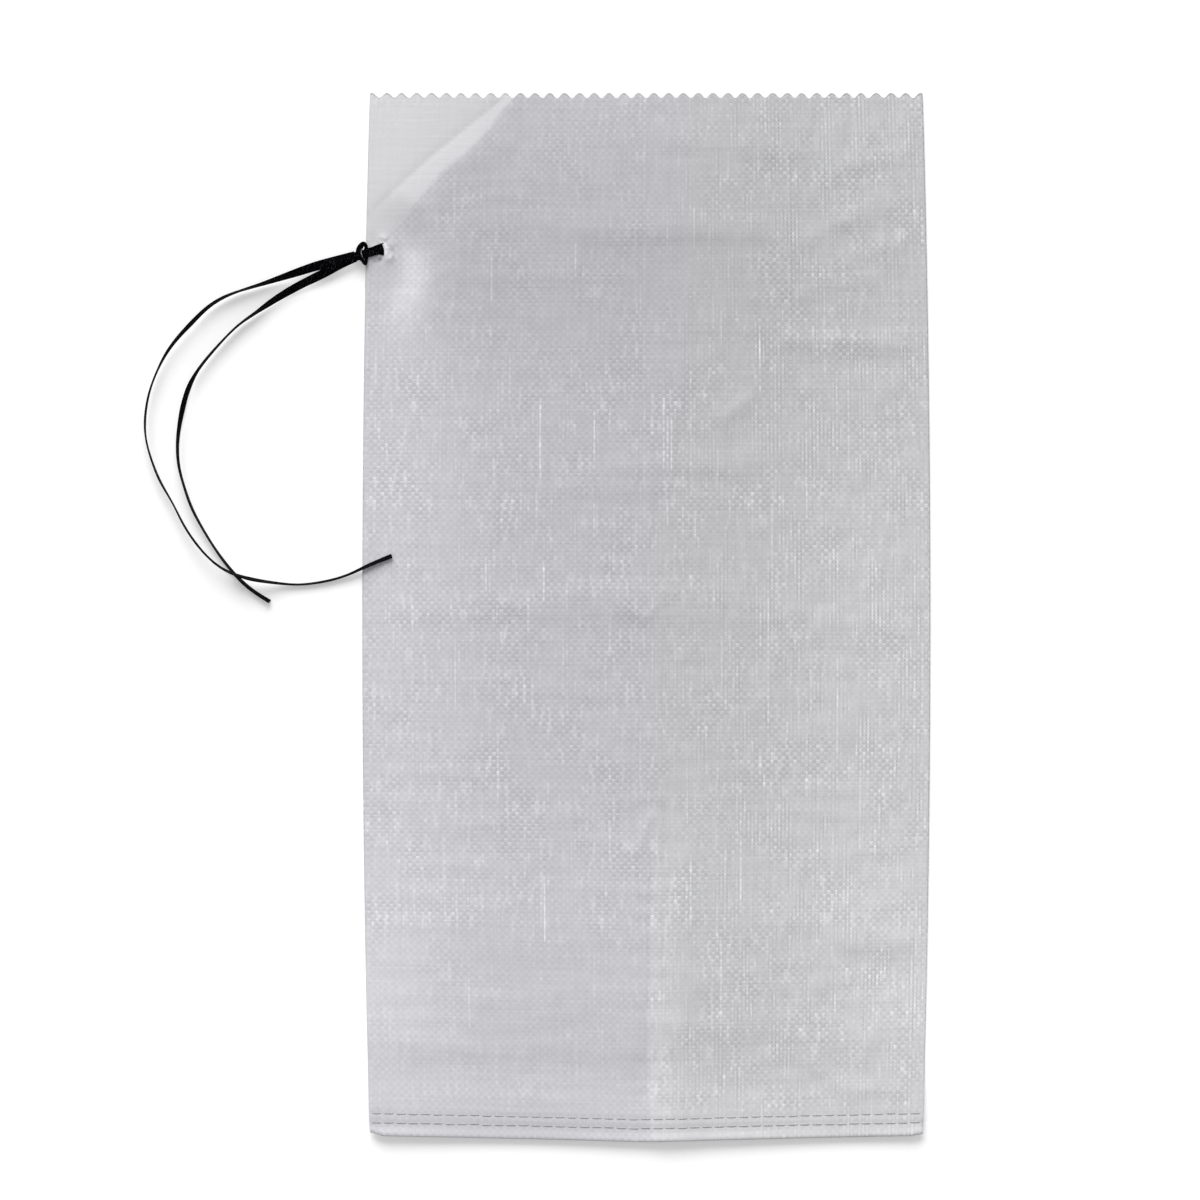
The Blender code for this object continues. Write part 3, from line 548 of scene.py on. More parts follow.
def row_stops():
    """Rows along the tube: distance below the mouth, hem angle, distance up the turned part, and total."""
    front_fold = BAG_LENGTH - HEM_FOLD_REACH
    downs = [0.0, 0.0052, 0.0074]
    downs += evenly(0.0100, HEM_TOP - 0.024, ROW_PITCH)
    downs += evenly(HEM_TOP - 0.024, HEM_TOP - 0.002, HEM_ROW_PITCH)
    downs += evenly(HEM_TOP - 0.002, front_fold, STITCH_ROW_PITCH)
    rows = [(down, 0.0, 0.0, down) for down in downs]
    for step in range(9):
        bend = math.pi * step / 8
        rows.append((front_fold, max(bend, 1e-4), 0.0, front_fold + LAYER * bend))
    turned_start = front_fold + LAYER * math.pi
    turned_length = HEM_DEPTH - HEM_FOLD_REACH
    for step in range(1, 4):
        turned = turned_length * step / 3
        rows.append((front_fold, math.pi, turned, turned_start + turned))
    return rows


def closer_grid(cloth, side_layer, down_layer):
    """Split the faces at the fine places in four, and those about the tie's hole once more."""

    def in_fine_place(vert):
        x, y = vert.co.x / MM, vert.co.y / MM
        front = vert[side_layer] > 0.999
        return front and any(low < x < high and under < y < over for low, high, under, over in FINE_PLACES)

    for wanted in (lambda vert: in_fine_place(vert) or near_hole(vert), near_hole):
        faces = [face for face in cloth.faces if all(wanted(vert) for vert in face.verts)]
        edges = {edge for face in faces for edge in face.edges}
        bmesh.ops.subdivide_edges(cloth, edges=list(edges), cuts=1, use_grid_fill=True)
    laid = [vert for vert in cloth.verts if in_fine_place(vert) or near_hole(vert)]
    x, y, side, down = (
        np.array(values)
        for values in zip(*((vert.co.x, vert.co.y, vert[side_layer], vert[down_layer]) for vert in laid))
    )
    edge = half_width(down) - fold_radius(x, y, down) - CLOTH / 2
    across = np.clip(x / edge, -1.0, 1.0)
    z = laid_height(x, y, down, across, side)
    for vert, height, share in zip(laid, z, side):
        if share < 0.001 or share > 0.999:
            vert.co.z = height


def cut_teeth(cloth, cloth_map, side_layer, rim_shade_layer):
    """Pinking shears' teeth along both layers of the mouth."""
    edges = [edge for edge in cloth.edges if edge.is_boundary and edge.verts[0].co.y > 0.0]
    long_edges = [edge for edge in edges if edge.calc_length() > 0.0030]
    short_edges = [edge for edge in edges if 0.0015 < edge.calc_length() <= 0.0030]
    bmesh.ops.bisect_edges(cloth, edges=long_edges, cuts=5)
    bmesh.ops.bisect_edges(cloth, edges=short_edges, cuts=1)
    rim = {vert for edge in cloth.edges if edge.is_boundary for vert in edge.verts if vert.co.y > 0.2}
    for vert in rim:
        side = vert[side_layer]
        wear = noise.noise((vert.co.x / 0.012, 0.0, 2.2))
        phase = 2 * math.pi * (vert.co.x / TOOTH_PITCH + 0.5 + 0.05 * wear)
        depth = TOOTH_DEPTH * (1.0 + 0.12 * wear) * ((1.0 - math.cos(phase)) / 2) ** 1.2
        drop = depth + MOUTH_TRIM - BACK_MOUTH_REACH * (1.0 - side)
        vert.co.y -= drop
        if side < 0.001 or side > 0.999:
            across = min(max(vert.co.x / float(half_width(drop)), -1.0), 1.0)
            x, y, down = np.array(vert.co.x), np.array(vert.co.y), np.array(drop)
            vert.co.z = float(laid_height(x, y, down, np.array(across), side))
        # marks the rim of the teeth for its painted shade
        vert[rim_shade_layer] = 1.0
        for loop in vert.link_loops:
            loop[cloth_map].uv.y += drop


def cut_tie_hole(cloth):
    """The worn slot that the tape goes through, in both layers."""

    def reach(vert):
        along, aside = hole_offset(vert.co.x, vert.co.y)
        return math.hypot(along / HOLE_HALF_LENGTH, aside / HOLE_HALF_WIDTH)

    open_verts = [vert for vert in cloth.verts if near_hole(vert) and reach(vert) < 0.92]
    bmesh.ops.delete(cloth, geom=open_verts, context="VERTS")
    for vert in cloth.verts:
        if vert.is_boundary and near_hole(vert):
            # a slightly frayed rim
            centre = tie_place(HOLE_ALONG, 0.0, 0.0)
            fray = 1.0 + 0.10 * noise.noise((vert.co.x / 0.0012, vert.co.y / 0.0012, 4.0))
            shrink = fray / reach(vert)
            vert.co.x = centre.x + (vert.co.x - centre.x) * shrink
            vert.co.y = centre.y + (vert.co.y - centre.y) * shrink


def on_streak(x, y):
    """Share of the painted bright streak below the tie's hole that a place has."""
    off_streak, along_streak = beside_line(x, y, PULL_STREAK)
    ends = smooth((along_streak + 0.05) / 0.20) * smooth((1.1 - along_streak) / 0.55)
    return ends * hump(off_streak, 0.0095)


def tone_and_painted_light(x, y):
    """How white the front looks against the rest of the cloth, with its painted light and shade: 1.0 is its
    own colour.
    """
    tone = np.ones_like(x)
    for (middle_x, middle_y), across, along, change in TONE_AND_PAINTED_LIGHT_SPOTS:
        tone += change * np.exp(-(((x - middle_x) / across) ** 2) - ((y - middle_y) / along) ** 2)
    # painted light and shade: whiter towards the sides and the lower part, and greyer just above the hem
    above_hem = 1.0 - 0.75 * smooth((-0.250 - y) / 0.050)
    tone += (0.10 * smooth((-0.085 - x) / 0.085) + 0.11 * smooth((x - 0.050) / 0.110)) * above_hem
    tone += 0.07 * smooth((-0.080 - y) / 0.130) - 0.06 * smooth((-0.262 - y) / 0.030)
    tone += 0.02 * smooth((y - 0.290) / 0.040)
    # a painted highlight along the hem's folded edge, and its band is greyer on the left
    edge_y = hem_edge(x)
    on_hem = smooth((edge_y + 0.0190 - y) / 0.004)
    tone += 0.12 * hump(y - edge_y - 0.0018, 0.0010) + (0.08 * smooth((x - 0.010) / 0.060) - 0.040) * on_hem
    # painted light along the streak below the tie's hole
    tone += 0.17 * on_streak(x, y)
    # painted light on the flank that rises right of the old lengthwise fold
    fold_along = smooth((-0.150 - y) / 0.070)
    past_fold = smooth((x - 0.0010) / 0.0018) * (1.0 - smooth((x - 0.012) / 0.018))
    tone += 0.075 * fold_along * past_fold
    # painted light on the flap, with a painted shade line behind it
    past_ridge, _ = beside_line(x, y, FLAP_RIDGE)
    past_line, _ = beside_line(x, y, FLAP_LINE)
    on_flap = smooth(past_ridge / 0.0024 + 0.5)
    near_mouth = smooth((y - 0.235) / 0.060)
    tone += (0.05 + 0.08 * near_mouth) * on_flap - 0.12 * on_flap * hump(past_line, 0.0013)
    # the far rim of the tie's hole
    along, aside = hole_offset(x, y)
    tone += 0.22 * hump(np.hypot(along, aside) - 0.0038, 0.0014) * smooth(along / 0.004 + 0.6)
    return tone


def neutral_share(x, y):
    """Where the cloth looks neutral and not violet: right of the old lengthwise fold, and on the flap."""
    upper = smooth((y - 0.020) / 0.150)
    right = smooth((x - 0.004 - 0.022 * upper) / (0.014 + 0.050 * upper) + 0.5)
    past_ridge, _ = beside_line(x, y, FLAP_RIDGE)
    return np.maximum(right, smooth(past_ridge / 0.006 + 0.5))


def standing_tapes(x, y):
    """Places of the single tapes that stand up, for their painted highlight: 1.0 in the middle of such a tape.
    """
    shown = np.zeros_like(x)
    share = END_WIDTH / 2 / half_width(MOUTH_Y - y)
    for middle, low, high, height in TAPE_RIDGES:
        tape = (math.floor(middle * MM / TAPE_PITCH) + 0.5) * TAPE_PITCH
        ends = smooth((y / MM - low + 3.0) / 6.0) * smooth((high + 3.0 - y / MM) / 6.0)
        near = np.clip(1.3 - np.abs(x * share - tape) / TAPE_PITCH, 0.0, 1.0)
        shown = np.maximum(shown, ends * near * (0.35 + height / 0.85))
    return shown


def weave_relief(x, y):
    """How plainly the weave shows: the smooth flap hides it."""
    past_ridge, _ = beside_line(x, y, FLAP_RIDGE)
    on_flap = smooth(past_ridge / 0.004 + 0.5)
    near_rim = smooth((y - 0.318) / 0.008)
    plain = 1.0 - 0.15 * smooth((x - 0.010) / 0.090)
    plain -= 0.35 * smooth((y - 0.140) / 0.060) * smooth((0.080 - x) / 0.040)
    plain -= 0.55 * smooth((-0.180 - y) / 0.040) * smooth((0.003 - x) / 0.005)
    plain *= 1.0 - 0.5 * smooth((hem_edge(x) + 0.021 - y) / 0.004)
    return plain * (1.0 - 0.85 * on_flap * (1.0 - 0.5 * near_rim)) * (1.0 - 0.5 * on_streak(x, y))


def make_bag_cloth(made_of):
    """One piece of cloth: a tube laid flat, pinked at the mouth and turned up at the hem."""
    stops, around = ring_stops()
    rows = row_stops()
    across, turn, round_it = (np.array(values) for values in zip(*stops))
    down, bend, turned, along_it = (np.array(values)[:, None] for values in zip(*rows))
    across, turn, down, bend, turned = np.broadcast_arrays(across, turn, down, bend, turned)
    x, y, z = cloth_place(across, turn, down, bend, turned)
    side = np.where(bend > 0.0, 0.5, (1.0 + np.sin(turn)) / 2)
    cloth = bmesh.new()
    cloth_map = cloth.loops.layers.uv.new("cloth")
    side_layer, down_layer, tone_layer, weave_layer, neutral_layer, standing_highlight_layer, rim_shade_layer = (
        cloth.verts.layers.float.new(name) for name in ("front_side", "below_mouth", *CLOTH_LOOKS)
    )
    verts = []
    for line in range(len(rows)):
        verts.append([cloth.verts.new(place) for place in zip(x[line], y[line], z[line])])
        for vert, vert_side, vert_down in zip(verts[line], side[line], down[line]):
            vert[side_layer] = vert_side
            vert[down_layer] = vert_down
    for line, (upper, lower) in enumerate(zip(verts, verts[1:])):
        for column in range(len(stops)):
            following = (column + 1) % len(stops)
            face = cloth.faces.new((upper[column], lower[column], lower[following], upper[following]))
            left = round_it[column]
            right = round_it[following] if following else around - END_WIDTH / 2
            high, low = along_it[line, 0], along_it[line + 1, 0]
            for loop, place in zip(face.loops, ((left, high), (left, low), (right, low), (right, high))):
                loop[cloth_map].uv = place
    closer_grid(cloth, side_layer, down_layer)
    cut_teeth(cloth, cloth_map, side_layer, rim_shade_layer)
    cut_tie_hole(cloth)
    x, y = (np.array(values) for values in zip(*((vert.co.x, vert.co.y) for vert in cloth.verts)))
    looks = zip(tone_and_painted_light(x, y), weave_relief(x, y), neutral_share(x, y), standing_tapes(x, y))
    for vert, (tone, relief, neutral, standing) in zip(cloth.verts, looks):
        side = vert[side_layer]
        front = side > 0.5
        on_side_fold = 0.02 < side < 0.98 and vert[down_layer] < BAG_LENGTH - 0.004
        # the side folds get a painted shade, 0.20 darker
        vert[tone_layer] = (tone if front else 1.0) - (0.20 if on_side_fold else 0.0)
        vert[weave_layer] = relief if front else 1.0
        vert[neutral_layer] = neutral
        vert[standing_highlight_layer] = standing if front else 0.0
    piece = smooth_piece("bag_cloth", cloth, made_of)
    wall = piece.modifiers.new("cloth_thickness", "SOLIDIFY")
    wall.thickness = CLOTH
    wall.offset = 0.0
    wall.use_even_offset = False
    # the faces, and not the cut edge, set how the teeth catch the light
    shading = piece.modifiers.new("shading_of_faces", "WEIGHTED_NORMAL")
    shading.mode = "FACE_AREA"
    shading.weight = 100
    return piece


# Tapes and threads


def smooth_route(points, spacing):
    """Evenly spaced points on a smooth curve through the chosen ones, each with its place in the list."""
    chosen = [Vector(point) for point in points]
    padded = [2 * chosen[0] - chosen[1], *chosen, 2 * chosen[-1] - chosen[-2]]
    fine = []
    for number, (before, start, end, after) in enumerate(zip(padded, padded[1:], padded[2:], padded[3:])):
        for step in range(12):
            t = step / 12
            place = 2 * start + (end - before) * t
            place += (2 * before - 5 * start + 4 * end - after) * t**2
            place += (3 * start - before - 3 * end + after) * t**3
            fine.append((place / 2, number + t))
    fine.append((chosen[-1], float(len(chosen) - 1)))
    lengths = [0.0]
    for (start, _), (end, _) in zip(fine, fine[1:]):
        lengths.append(lengths[-1] + (end - start).length)
    count = max(2, round(lengths[-1] / spacing))
    targets = [lengths[-1] * step / count for step in range(count + 1)]
    numbers = np.interp(targets, lengths, [number for _, number in fine])
    axes = [np.interp(targets, lengths, [place[axis] for place, _ in fine]) for axis in range(3)]
    return [Vector(place) for place in zip(*axes)], numbers


def tape_section(width):
    """Outline of a flat tape's section with round edges, as (across, up) pairs."""
    half, up = width / 2, TAPE_THICKNESS / 2
    top = [(-half + up, up), (-half / 2, up), (0.0, up), (half / 2, up), (half - up, up)]
    edge = [(half - 0.3 * up, 0.7 * up), (half, 0.0), (half - 0.3 * up, -0.7 * up)]
    bottom = [(across, -level) for across, level in reversed(top)]
    return top + edge + bottom + [(-across, -level) for across, level in edge]


def make_tape(name, places, turns, widths, made_of, closed=False):
    """A flat tape along its places, turned on its edge by an angle from flat at each."""
    strip = bmesh.new()
    tape_map = strip.loops.layers.uv.new("tape")
    rings = []
    lengths = [0.0]
    count = len(places)
    for number, place in enumerate(places):
        before = places[(number - 1) % count] if closed or number else place
        after = places[(number + 1) % count] if closed or number < count - 1 else place
        forward = (after - before).normalized()
        flat = forward.cross(Vector((0.0, 0.0, 1.0)))
        flat = flat.normalized() if flat.length > 1e-6 else Vector((0.0, 1.0, 0.0))
        up = flat.cross(forward).normalized()
        turn = turns[number]
        wide = flat * math.cos(turn) + up * math.sin(turn)
        thin = up * math.cos(turn) - flat * math.sin(turn)
        section = tape_section(widths[number])
        rings.append([strip.verts.new(place + wide * across + thin * level) for across, level in section])
        if number:
            lengths.append(lengths[-1] + (place - places[number - 1]).length)
    around = [across for across, _ in tape_section(TAPE_WIDTH)]
    pairs = list(zip(rings, rings[1:]))
    if closed:
        pairs.append((rings[-1], rings[0]))
    for line, (near, far) in enumerate(pairs):
        start = lengths[line]
        end = start + (places[(line + 1) % count] - places[line]).length
        for corner in range(len(near)):
            other = (corner + 1) % len(near)
            face = strip.faces.new((near[corner], near[other], far[other], far[corner]))
            left, right = around[corner], around[other]
            for loop, spot in zip(face.loops, ((left, start), (right, start), (right, end), (left, end))):
                loop[tape_map].uv = spot
    if not closed:
        strip.faces.new(rings[0])
        strip.faces.new(list(reversed(rings[-1])))
    piece = smooth_piece(name, strip, made_of)
    piece.data.set_sharp_from_angle(angle=math.radians(50))
    return piece


def tail_route(chosen, aside, shown, rise, hover, gather):
    """The line of a tail from the knot, as low as its turn lets it lie, with its turns and widths."""
    exit_point = tie_place(-KNOT_EXIT, aside, TAIL_ON_FLOOR)
    lead = tie_place(-KNOT_EXIT - TAIL_LEAD, aside * 1.6, TAIL_ON_FLOOR)
    places, numbers = smooth_route((exit_point, lead, *chosen), TAIL_STEP)
    hovers = np.interp(numbers, *zip(*hover)) * MM
    widths = TAPE_WIDTH * np.interp(numbers, *zip(*gather))
    faces = np.interp(numbers, range(len(shown)), shown) * MM - TAPE_THICKNESS
    turns = np.arccos(np.clip(faces / (widths - TAPE_THICKNESS), 0.0, 1.0))
    for _ in range(16):
        triples = zip(places, places[1:], places[2:])
        places[1:-1] = [(before + 2 * place + after) / 4 for before, place, after in triples]
    for number, (place, turn, width) in enumerate(zip(places, turns, widths)):
        lowest = width / 2 * abs(math.sin(turn)) + TAPE_THICKNESS / 2 * abs(math.cos(turn))
        settled = float(smooth(number * TAIL_STEP / RISE_REACH))
        place.z += lowest - TAIL_ON_FLOOR + FLOOR_CLEARANCE + rise * (1.0 - settled) + hovers[number]
        if number * TAIL_STEP > RISE_REACH and abs(place.x) < float(half_width(MOUTH_Y - place.y)):
            place.z = front_top(place.x, place.y) + lowest + TAPE_CLEARANCE
    return places, turns, widths


def make_tail(name, chosen, aside, shown, rise, hover, gather, made_of):
    places, turns, widths = tail_route(chosen, aside, shown, rise, hover, gather)
    wear = [1.0 + 0.04 * noise.noise((place.x / 0.02, place.y / 0.02, 0.5)) for place in places]
    return make_tape(name, places, turns, widths * wear, made_of), places


def front_top(x, y):
    """Height of the bag's front at a place."""
    down = MOUTH_Y - y
    across = np.clip(x / half_width(down), -1.0, 1.0)
    return float(back_level(x, y, down) + front_gap(np.array(x), np.array(y), down, across)) + CLOTH / 2


def make_tie_loop(made_of):
    """The tape's single run over the front, down through the hole, and back under the bag to the knot."""
    places_over = [tie_place(along, 0.0, 0.0) for along in (-0.0120, -0.009, -0.006, -0.0045)]
    over = max(front_top(place.x, place.y) for place in places_over) + TAPE_THICKNESS / 2 + TAPE_CLEARANCE
    under = TAPE_THICKNESS / 2 + FLOOR_CLEARANCE
    stops = (
        # along the tie, across it, height and width
        (-0.0240, -0.0014, 0.0058, 0.0058), (-0.0200, -0.0010, 0.0058, 0.0058),
        (-0.0160, -0.0006, 0.0056, 0.0056), (-0.0130, -0.0003, 0.0052, 0.0055),
        (-0.0105, 0.0, over + 0.0008, 0.0058), (-0.0080, 0.0002, over + 0.0004, 0.0058),
        (-0.0060, 0.0005, over + 0.0003, 0.0060), (-0.0042, 0.0006, over + 0.0002, 0.0066),
        (-0.0028, 0.0004, over, 0.0076), (-0.0020, 0.0003, over - 0.0008, 0.0082),
        (-0.0020, 0.0002, (over + under) / 2, 0.0074), (-0.0030, 0.0, under + 0.0004, 0.0066),
        (-0.0070, 0.0, under, 0.0060), (-0.0110, 0.0, under, 0.0060), (-0.0150, -0.0004, 0.0010, 0.0058),
        (-0.0200, -0.0010, 0.0036, 0.0056), (-0.0235, -0.0014, 0.0048, 0.0054),
    )
    route = [tie_place(*stop[:3]) for stop in stops]
    places, numbers = smooth_route(route, 0.0006)
    widths = np.interp(numbers, range(len(stops)), [stop[3] for stop in stops])
    loop = make_tape("tie_loop", places, [0.0] * len(places), widths, made_of)
    # the bend at the hole is cupped: its corners reach on, the lower one furthest
    run = tie_direction()
    for vert in loop.data.vertices:
        offset = np.array(vert.co[:2]) - tie_centre()
        along, aside = float(offset @ run), float(offset[1] * run[0] - offset[0] * run[1])
        reach = 0.0009 * (aside / 0.004) ** 2 - 0.0002 * aside / 0.004
        vert.co.x += run[0] * reach * float(smooth((along + 0.0055) / 0.003))
        vert.co.y += run[1] * reach * float(smooth((along + 0.0055) / 0.003))
    return loop


def make_tie_wrap(made_of):
    """The turn of tape that grips both tails at the side fold, with its two pointed corners."""
    stops = (
        # along the tie, across it, height, turn from flat in degrees, width
        (-0.0133, 0.0055, 0.0044, 24, 0.0043), (-0.0153, 0.0044, 0.0058, 26, 0.0042),
        (-0.0170, 0.0020, 0.0068, 30, 0.0040), (-0.0170, -0.0012, 0.0071, 30, 0.0038),
        (-0.0156, -0.0042, 0.0060, 50, 0.0034), (-0.0146, -0.0064, 0.0040, 56, 0.0034),
        (-0.0136, -0.0046, 0.0028, 50, 0.0030), (-0.0130, -0.0016, 0.0016, 20, 0.0030),
        (-0.0124, 0.0020, 0.0018, 25, 0.0030), (-0.0119, 0.0040, 0.0028, 50, 0.0030),
    )
    route = [tie_place(*stop[:3]) for stop in stops]
    places, numbers = smooth_route([*route[-2:], *route, *route[:3]], 0.0005)
    lap = [(place, number - 2) for place, number in zip(places, numbers) if 2 <= number < len(stops) + 2]
    at = [number for _, number in lap]
    steps = range(len(stops) + 1)
    turns = np.interp(at, steps, [math.radians(stop[3]) for stop in (*stops, stops[0])])
    widths = np.interp(at, steps, [stop[4] for stop in (*stops, stops[0])])
    return make_tape("tie_wrap", [place for place, _ in lap], turns, widths, made_of, closed=True)


def make_stitch_row(name, height, made_of):
    """Lockstitch round the hem: dashes on both faces that dive into the cloth at each needle hole."""
    reach = END_WIDTH / 2 - 0.0006
    count = round(2 * reach / STITCH_PITCH)
    pitch = 2 * reach / count
    dash = ((0.0, -0.9), (0.08, -0.2), (0.2, 0.30), (0.5, 0.42), (0.72, 0.30), (0.84, -0.2), (0.92, -0.9))
    points = []
    for side, across in ((1.0, 1.0), (-1.0, -1.0)):
        for stitch in range(count):
            slip = 0.0004 * noise.noise((stitch * 0.7, height * 900, side))
            for share, rise in dash:
                x = np.array(across * (-reach + (stitch + share) * pitch))
                y = hem_edge(x) + height + slip
                level = HEM_CENTRE_Z + side * (1.5 * LAYER + CLOTH / 2 + rise * THREAD / 2) + hem_lift(x, y)
                if side > 0.0:
                    level -= stitch_groove(x, y)
                points.append((float(x), float(y), float(level)))
    curve = bpy.data.curves.new(name, "CURVE")
    curve.dimensions = "3D"
    curve.bevel_depth = THREAD / 2
    curve.bevel_resolution = 3
    curve.twist_mode = "Z_UP"
    spline = curve.splines.new("POLY")
    spline.points.add(len(points) - 1)
    for point, place in zip(spline.points, points):
        point.co = (*place, 1.0)
    spline.use_cyclic_u = True
    spline.use_smooth = True
    return new_piece("hem_" + name, curve, made_of)


def new_piece(name, data, made_of):
    data.materials.append(made_of)
    piece = bpy.data.objects.new(name, data)
    bpy.context.scene.collection.objects.link(piece)
    return piece


def smooth_piece(name, shape, made_of):
    """A smooth shaded piece of a shape that is made face by face."""
    bmesh.ops.recalc_face_normals(shape, faces=shape.faces)
    mesh = bpy.data.meshes.new(name)
    shape.to_mesh(mesh)
    shape.free()
    mesh.shade_smooth()
    return new_piece(name, mesh, made_of)


# Finishes


def linear(colour):
    """An sRGB hex value such as #C5C5CA as linear red, green, blue and alpha."""
    parts = [int(colour[place : place + 2], 16) / 255 for place in (1, 3, 5)]
    return (*[part / 12.92 if part <= 0.04045 else ((part + 0.055) / 1.055) ** 2.4 for part in parts], 1.0)


def set_inputs(tree, node, inputs):
    """Link a node's inputs to other nodes' outputs, or set their values, by name or number or in order."""
    for socket, value in inputs.items() if isinstance(inputs, dict) else enumerate(inputs):
        if isinstance(value, bpy.types.NodeSocket):
            tree.links.new(value, node.inputs[socket])
        else:
            node.inputs[socket].default_value = value


def add_node(tree, kind, inputs=(), output=0, **settings):
    """Add a node with its settings and links, and give back the one output that is used."""
    made = tree.nodes.new("ShaderNode" + kind)
    for name, value in settings.items():
        setattr(made, name, value)
    set_inputs(tree, made, inputs)
    return made.outputs[output]


def new_material(name):
    made = bpy.data.materials.new(name)
    made.use_nodes = True
    return made, made.node_tree, made.node_tree.nodes["Principled BSDF"]


def woven_polypropylene():
    """White polypropylene film slit into flat tapes and woven plain, over and under, with no coating.

    The eye gets a fine chequer of crossing tapes that shows in patches, a waxy gloss, and painted highlights:
    thin bright dashes along the bag where single tapes stand up, and glints on single crossings. Painted light
    and shade also run across the upright tapes, and a painted shade lies along the cut edge of the teeth.
    """
    made, tree, shader = new_material("woven_polypropylene_tapes")
    tone, shown, neutral, standing, rim = (
        add_node(tree, "Attribute", output="Fac", attribute_name=name) for name in CLOTH_LOOKS
    )
    place = add_node(tree, "UVMap", uv_map="cloth")
    across_bag = add_node(tree, "SeparateXYZ", (place,))
    tapes = add_node(tree, "VectorMath", {0: place, "Scale": 1.0 / TAPE_PITCH}, operation="SCALE")
    squares = {"Vector": tapes, "Color1": (1, 1, 1, 1), "Color2": (0, 0, 0, 1), "Scale": 1.0}
    warp_over = add_node(tree, "TexChecker", squares, "Fac")
    waves = {"Vector": tapes, "Scale": ONE_WAVE}
    over_weft, over_warp = (add_node(tree, "TexWave", waves, "Fac", bands_direction=way) for way in "YX")
    crossing = add_node(tree, "Mix", {"Factor": warp_over, 2: over_warp, 3: over_weft})
    fields = []
    for across, along, scale, detail, roughness in (
        (1.0, 1.0, 0.07, 4.0, 0.75),  # patches where the weave stands out, each about ten tapes wide
        (0.85, 0.060, 1.0, 2.0, 0.6),  # upright tapes differ, and change slowly along their length
        (0.05, 0.80, 1.0, 2.0, 0.6),  # so do the tapes that run across
        (1.0, 0.22, 0.9, 0.0, 0.5),  # short dashes, four or five tapes long
        (1.0, 0.22, 0.22, 4.0, 0.8),  # tall patches with upright stripes
        (1.0, 1.0, 0.7, 1.0, 0.5),  # dots that break up the standing tapes
    ):
        stretched = add_node(tree, "VectorMath", (tapes, (across, along, 1.0)), operation="MULTIPLY")
        field = {"Vector": stretched, "Scale": scale, "Detail": detail, "Roughness": roughness}
        fields.append(add_node(tree, "TexNoise", field, "Fac", noise_dimensions="2D"))
    patchy, streaks, cross_streaks, dashes, tall, broken = fields
    cells = add_node(tree, "VectorMath", (tapes,), operation="FLOOR")
    any_crossing = add_node(tree, "TexWhiteNoise", {"Vector": cells}, "Value", noise_dimensions="2D")
    patches, raised, tall, to_right, more_right, knuckles, spots, standing, ridge, broken = (
        add_node(tree, "MapRange", span)
        for span in (
            # a value, where it starts and ends, and what it gives there
            (patchy, 0.42, 0.66, 0.30, 1.25),
            (dashes, 0.58, 0.74),
            (tall, 0.48, 0.64),
            (across_bag, 0.0, 0.080, 0.25, 1.0),
            (across_bag, 0.0, 0.080, 1.0, 1.6),
            (over_weft, 0.0, 1.0, 0.35, 1.75),
            (any_crossing, 0.80, 1.0),
            (standing, 0.45, 1.0),
            (over_warp, 0.35, 0.95),
            (broken, 0.38, 0.60, 0.35, 1.0),
        )
    )
    stripes, streak, cross_streak, chequer = (
        add_node(tree, "Math", (value, middle), operation="SUBTRACT")
        for value, middle in ((over_warp, 0.5), (streaks, 0.5), (cross_streaks, 0.5), (warp_over, 0.78))
    )
    # where the weave hardly shows, single tapes hardly differ
    fade = add_node(tree, "Math", (shown, 0.5), operation="ADD", use_clamp=True)
    patches = add_node(tree, "Math", (patches, shown), operation="MULTIPLY")
    looks = []
    for look, *parts in (
        (raised, patches),  # painted highlights where tapes stand up enough to catch the light
        (spots, patches, more_right),  # painted glints on single crossings that shine
        (standing, ridge, broken),  # painted highlights of long standing tapes: thin bright lines broken into dots
        (stripes, tall, to_right, dashes, shown, knuckles),  # painted light and shade across upright tapes, brightest on their crowns, plainest on the right
        (chequer, patches, more_right),  # tapes along and across, strongest in the patches
        (streak, fade),
        (cross_streak, fade),
        (crossing, patches),
    ):
        for part in parts:
            look = add_node(tree, "Math", (look, part), operation="MULTIPLY")
        looks.append(look)
    raised, spots, standing, stripes, chequer, streak, cross_streak, weave_height = looks
    levels = [
        add_node(tree, "Math", (look, strength, 1.0), operation="MULTIPLY_ADD")
        for look, strength in ((streak, 0.14), (cross_streak, 0.08), (chequer, 0.100), (stripes, 0.60))
    ]
    levels += [
        add_node(tree, "MapRange", span)
        for span in (
            (raised, 0.0, 1.0, 1.0, 1.15),
            (spots, 0.0, 2.0, 1.0, 1.18),
            (standing, 0.0, 1.0, 1.0, 1.65),
            (rim, 0.72, 0.95, 1.0, 0.78),  # painted shade along the very edge of the teeth's cut tapes
        )
    ]
    for level in levels:
        tone = add_node(tree, "Math", (tone, level), operation="MULTIPLY")
    violet = {"Factor": warp_over, 6: linear("#C2C1C6"), 7: linear("#C5C4C9")}
    tints = {"Factor": neutral, 6: add_node(tree, "Mix", violet, 2, data_type="RGBA"), 7: linear("#C3C3C5")}
    tinted = add_node(tree, "Mix", tints, 2, data_type="RGBA")
    colour = add_node(tree, "VectorMath", {0: tinted, "Scale": tone}, operation="SCALE")
    gloss = add_node(tree, "MapRange", (streaks, 0.3, 0.7, 0.52, 0.36))
    # bumps of the upright tapes, of the cross tapes and of the weave, one on the other
    relief = {}
    for height, distance in ((streaks, 0.00020), (cross_streaks, 0.00012), (weave_height, 0.00007)):
        relief = {"Height": height, "Strength": 1.0, "Distance": distance, **relief}
        relief = {"Normal": add_node(tree, "Bump", relief)}
    set_inputs(tree, shader, {"Base Color": colour, "Roughness": gloss, "IOR": 1.49, **relief})
    return made


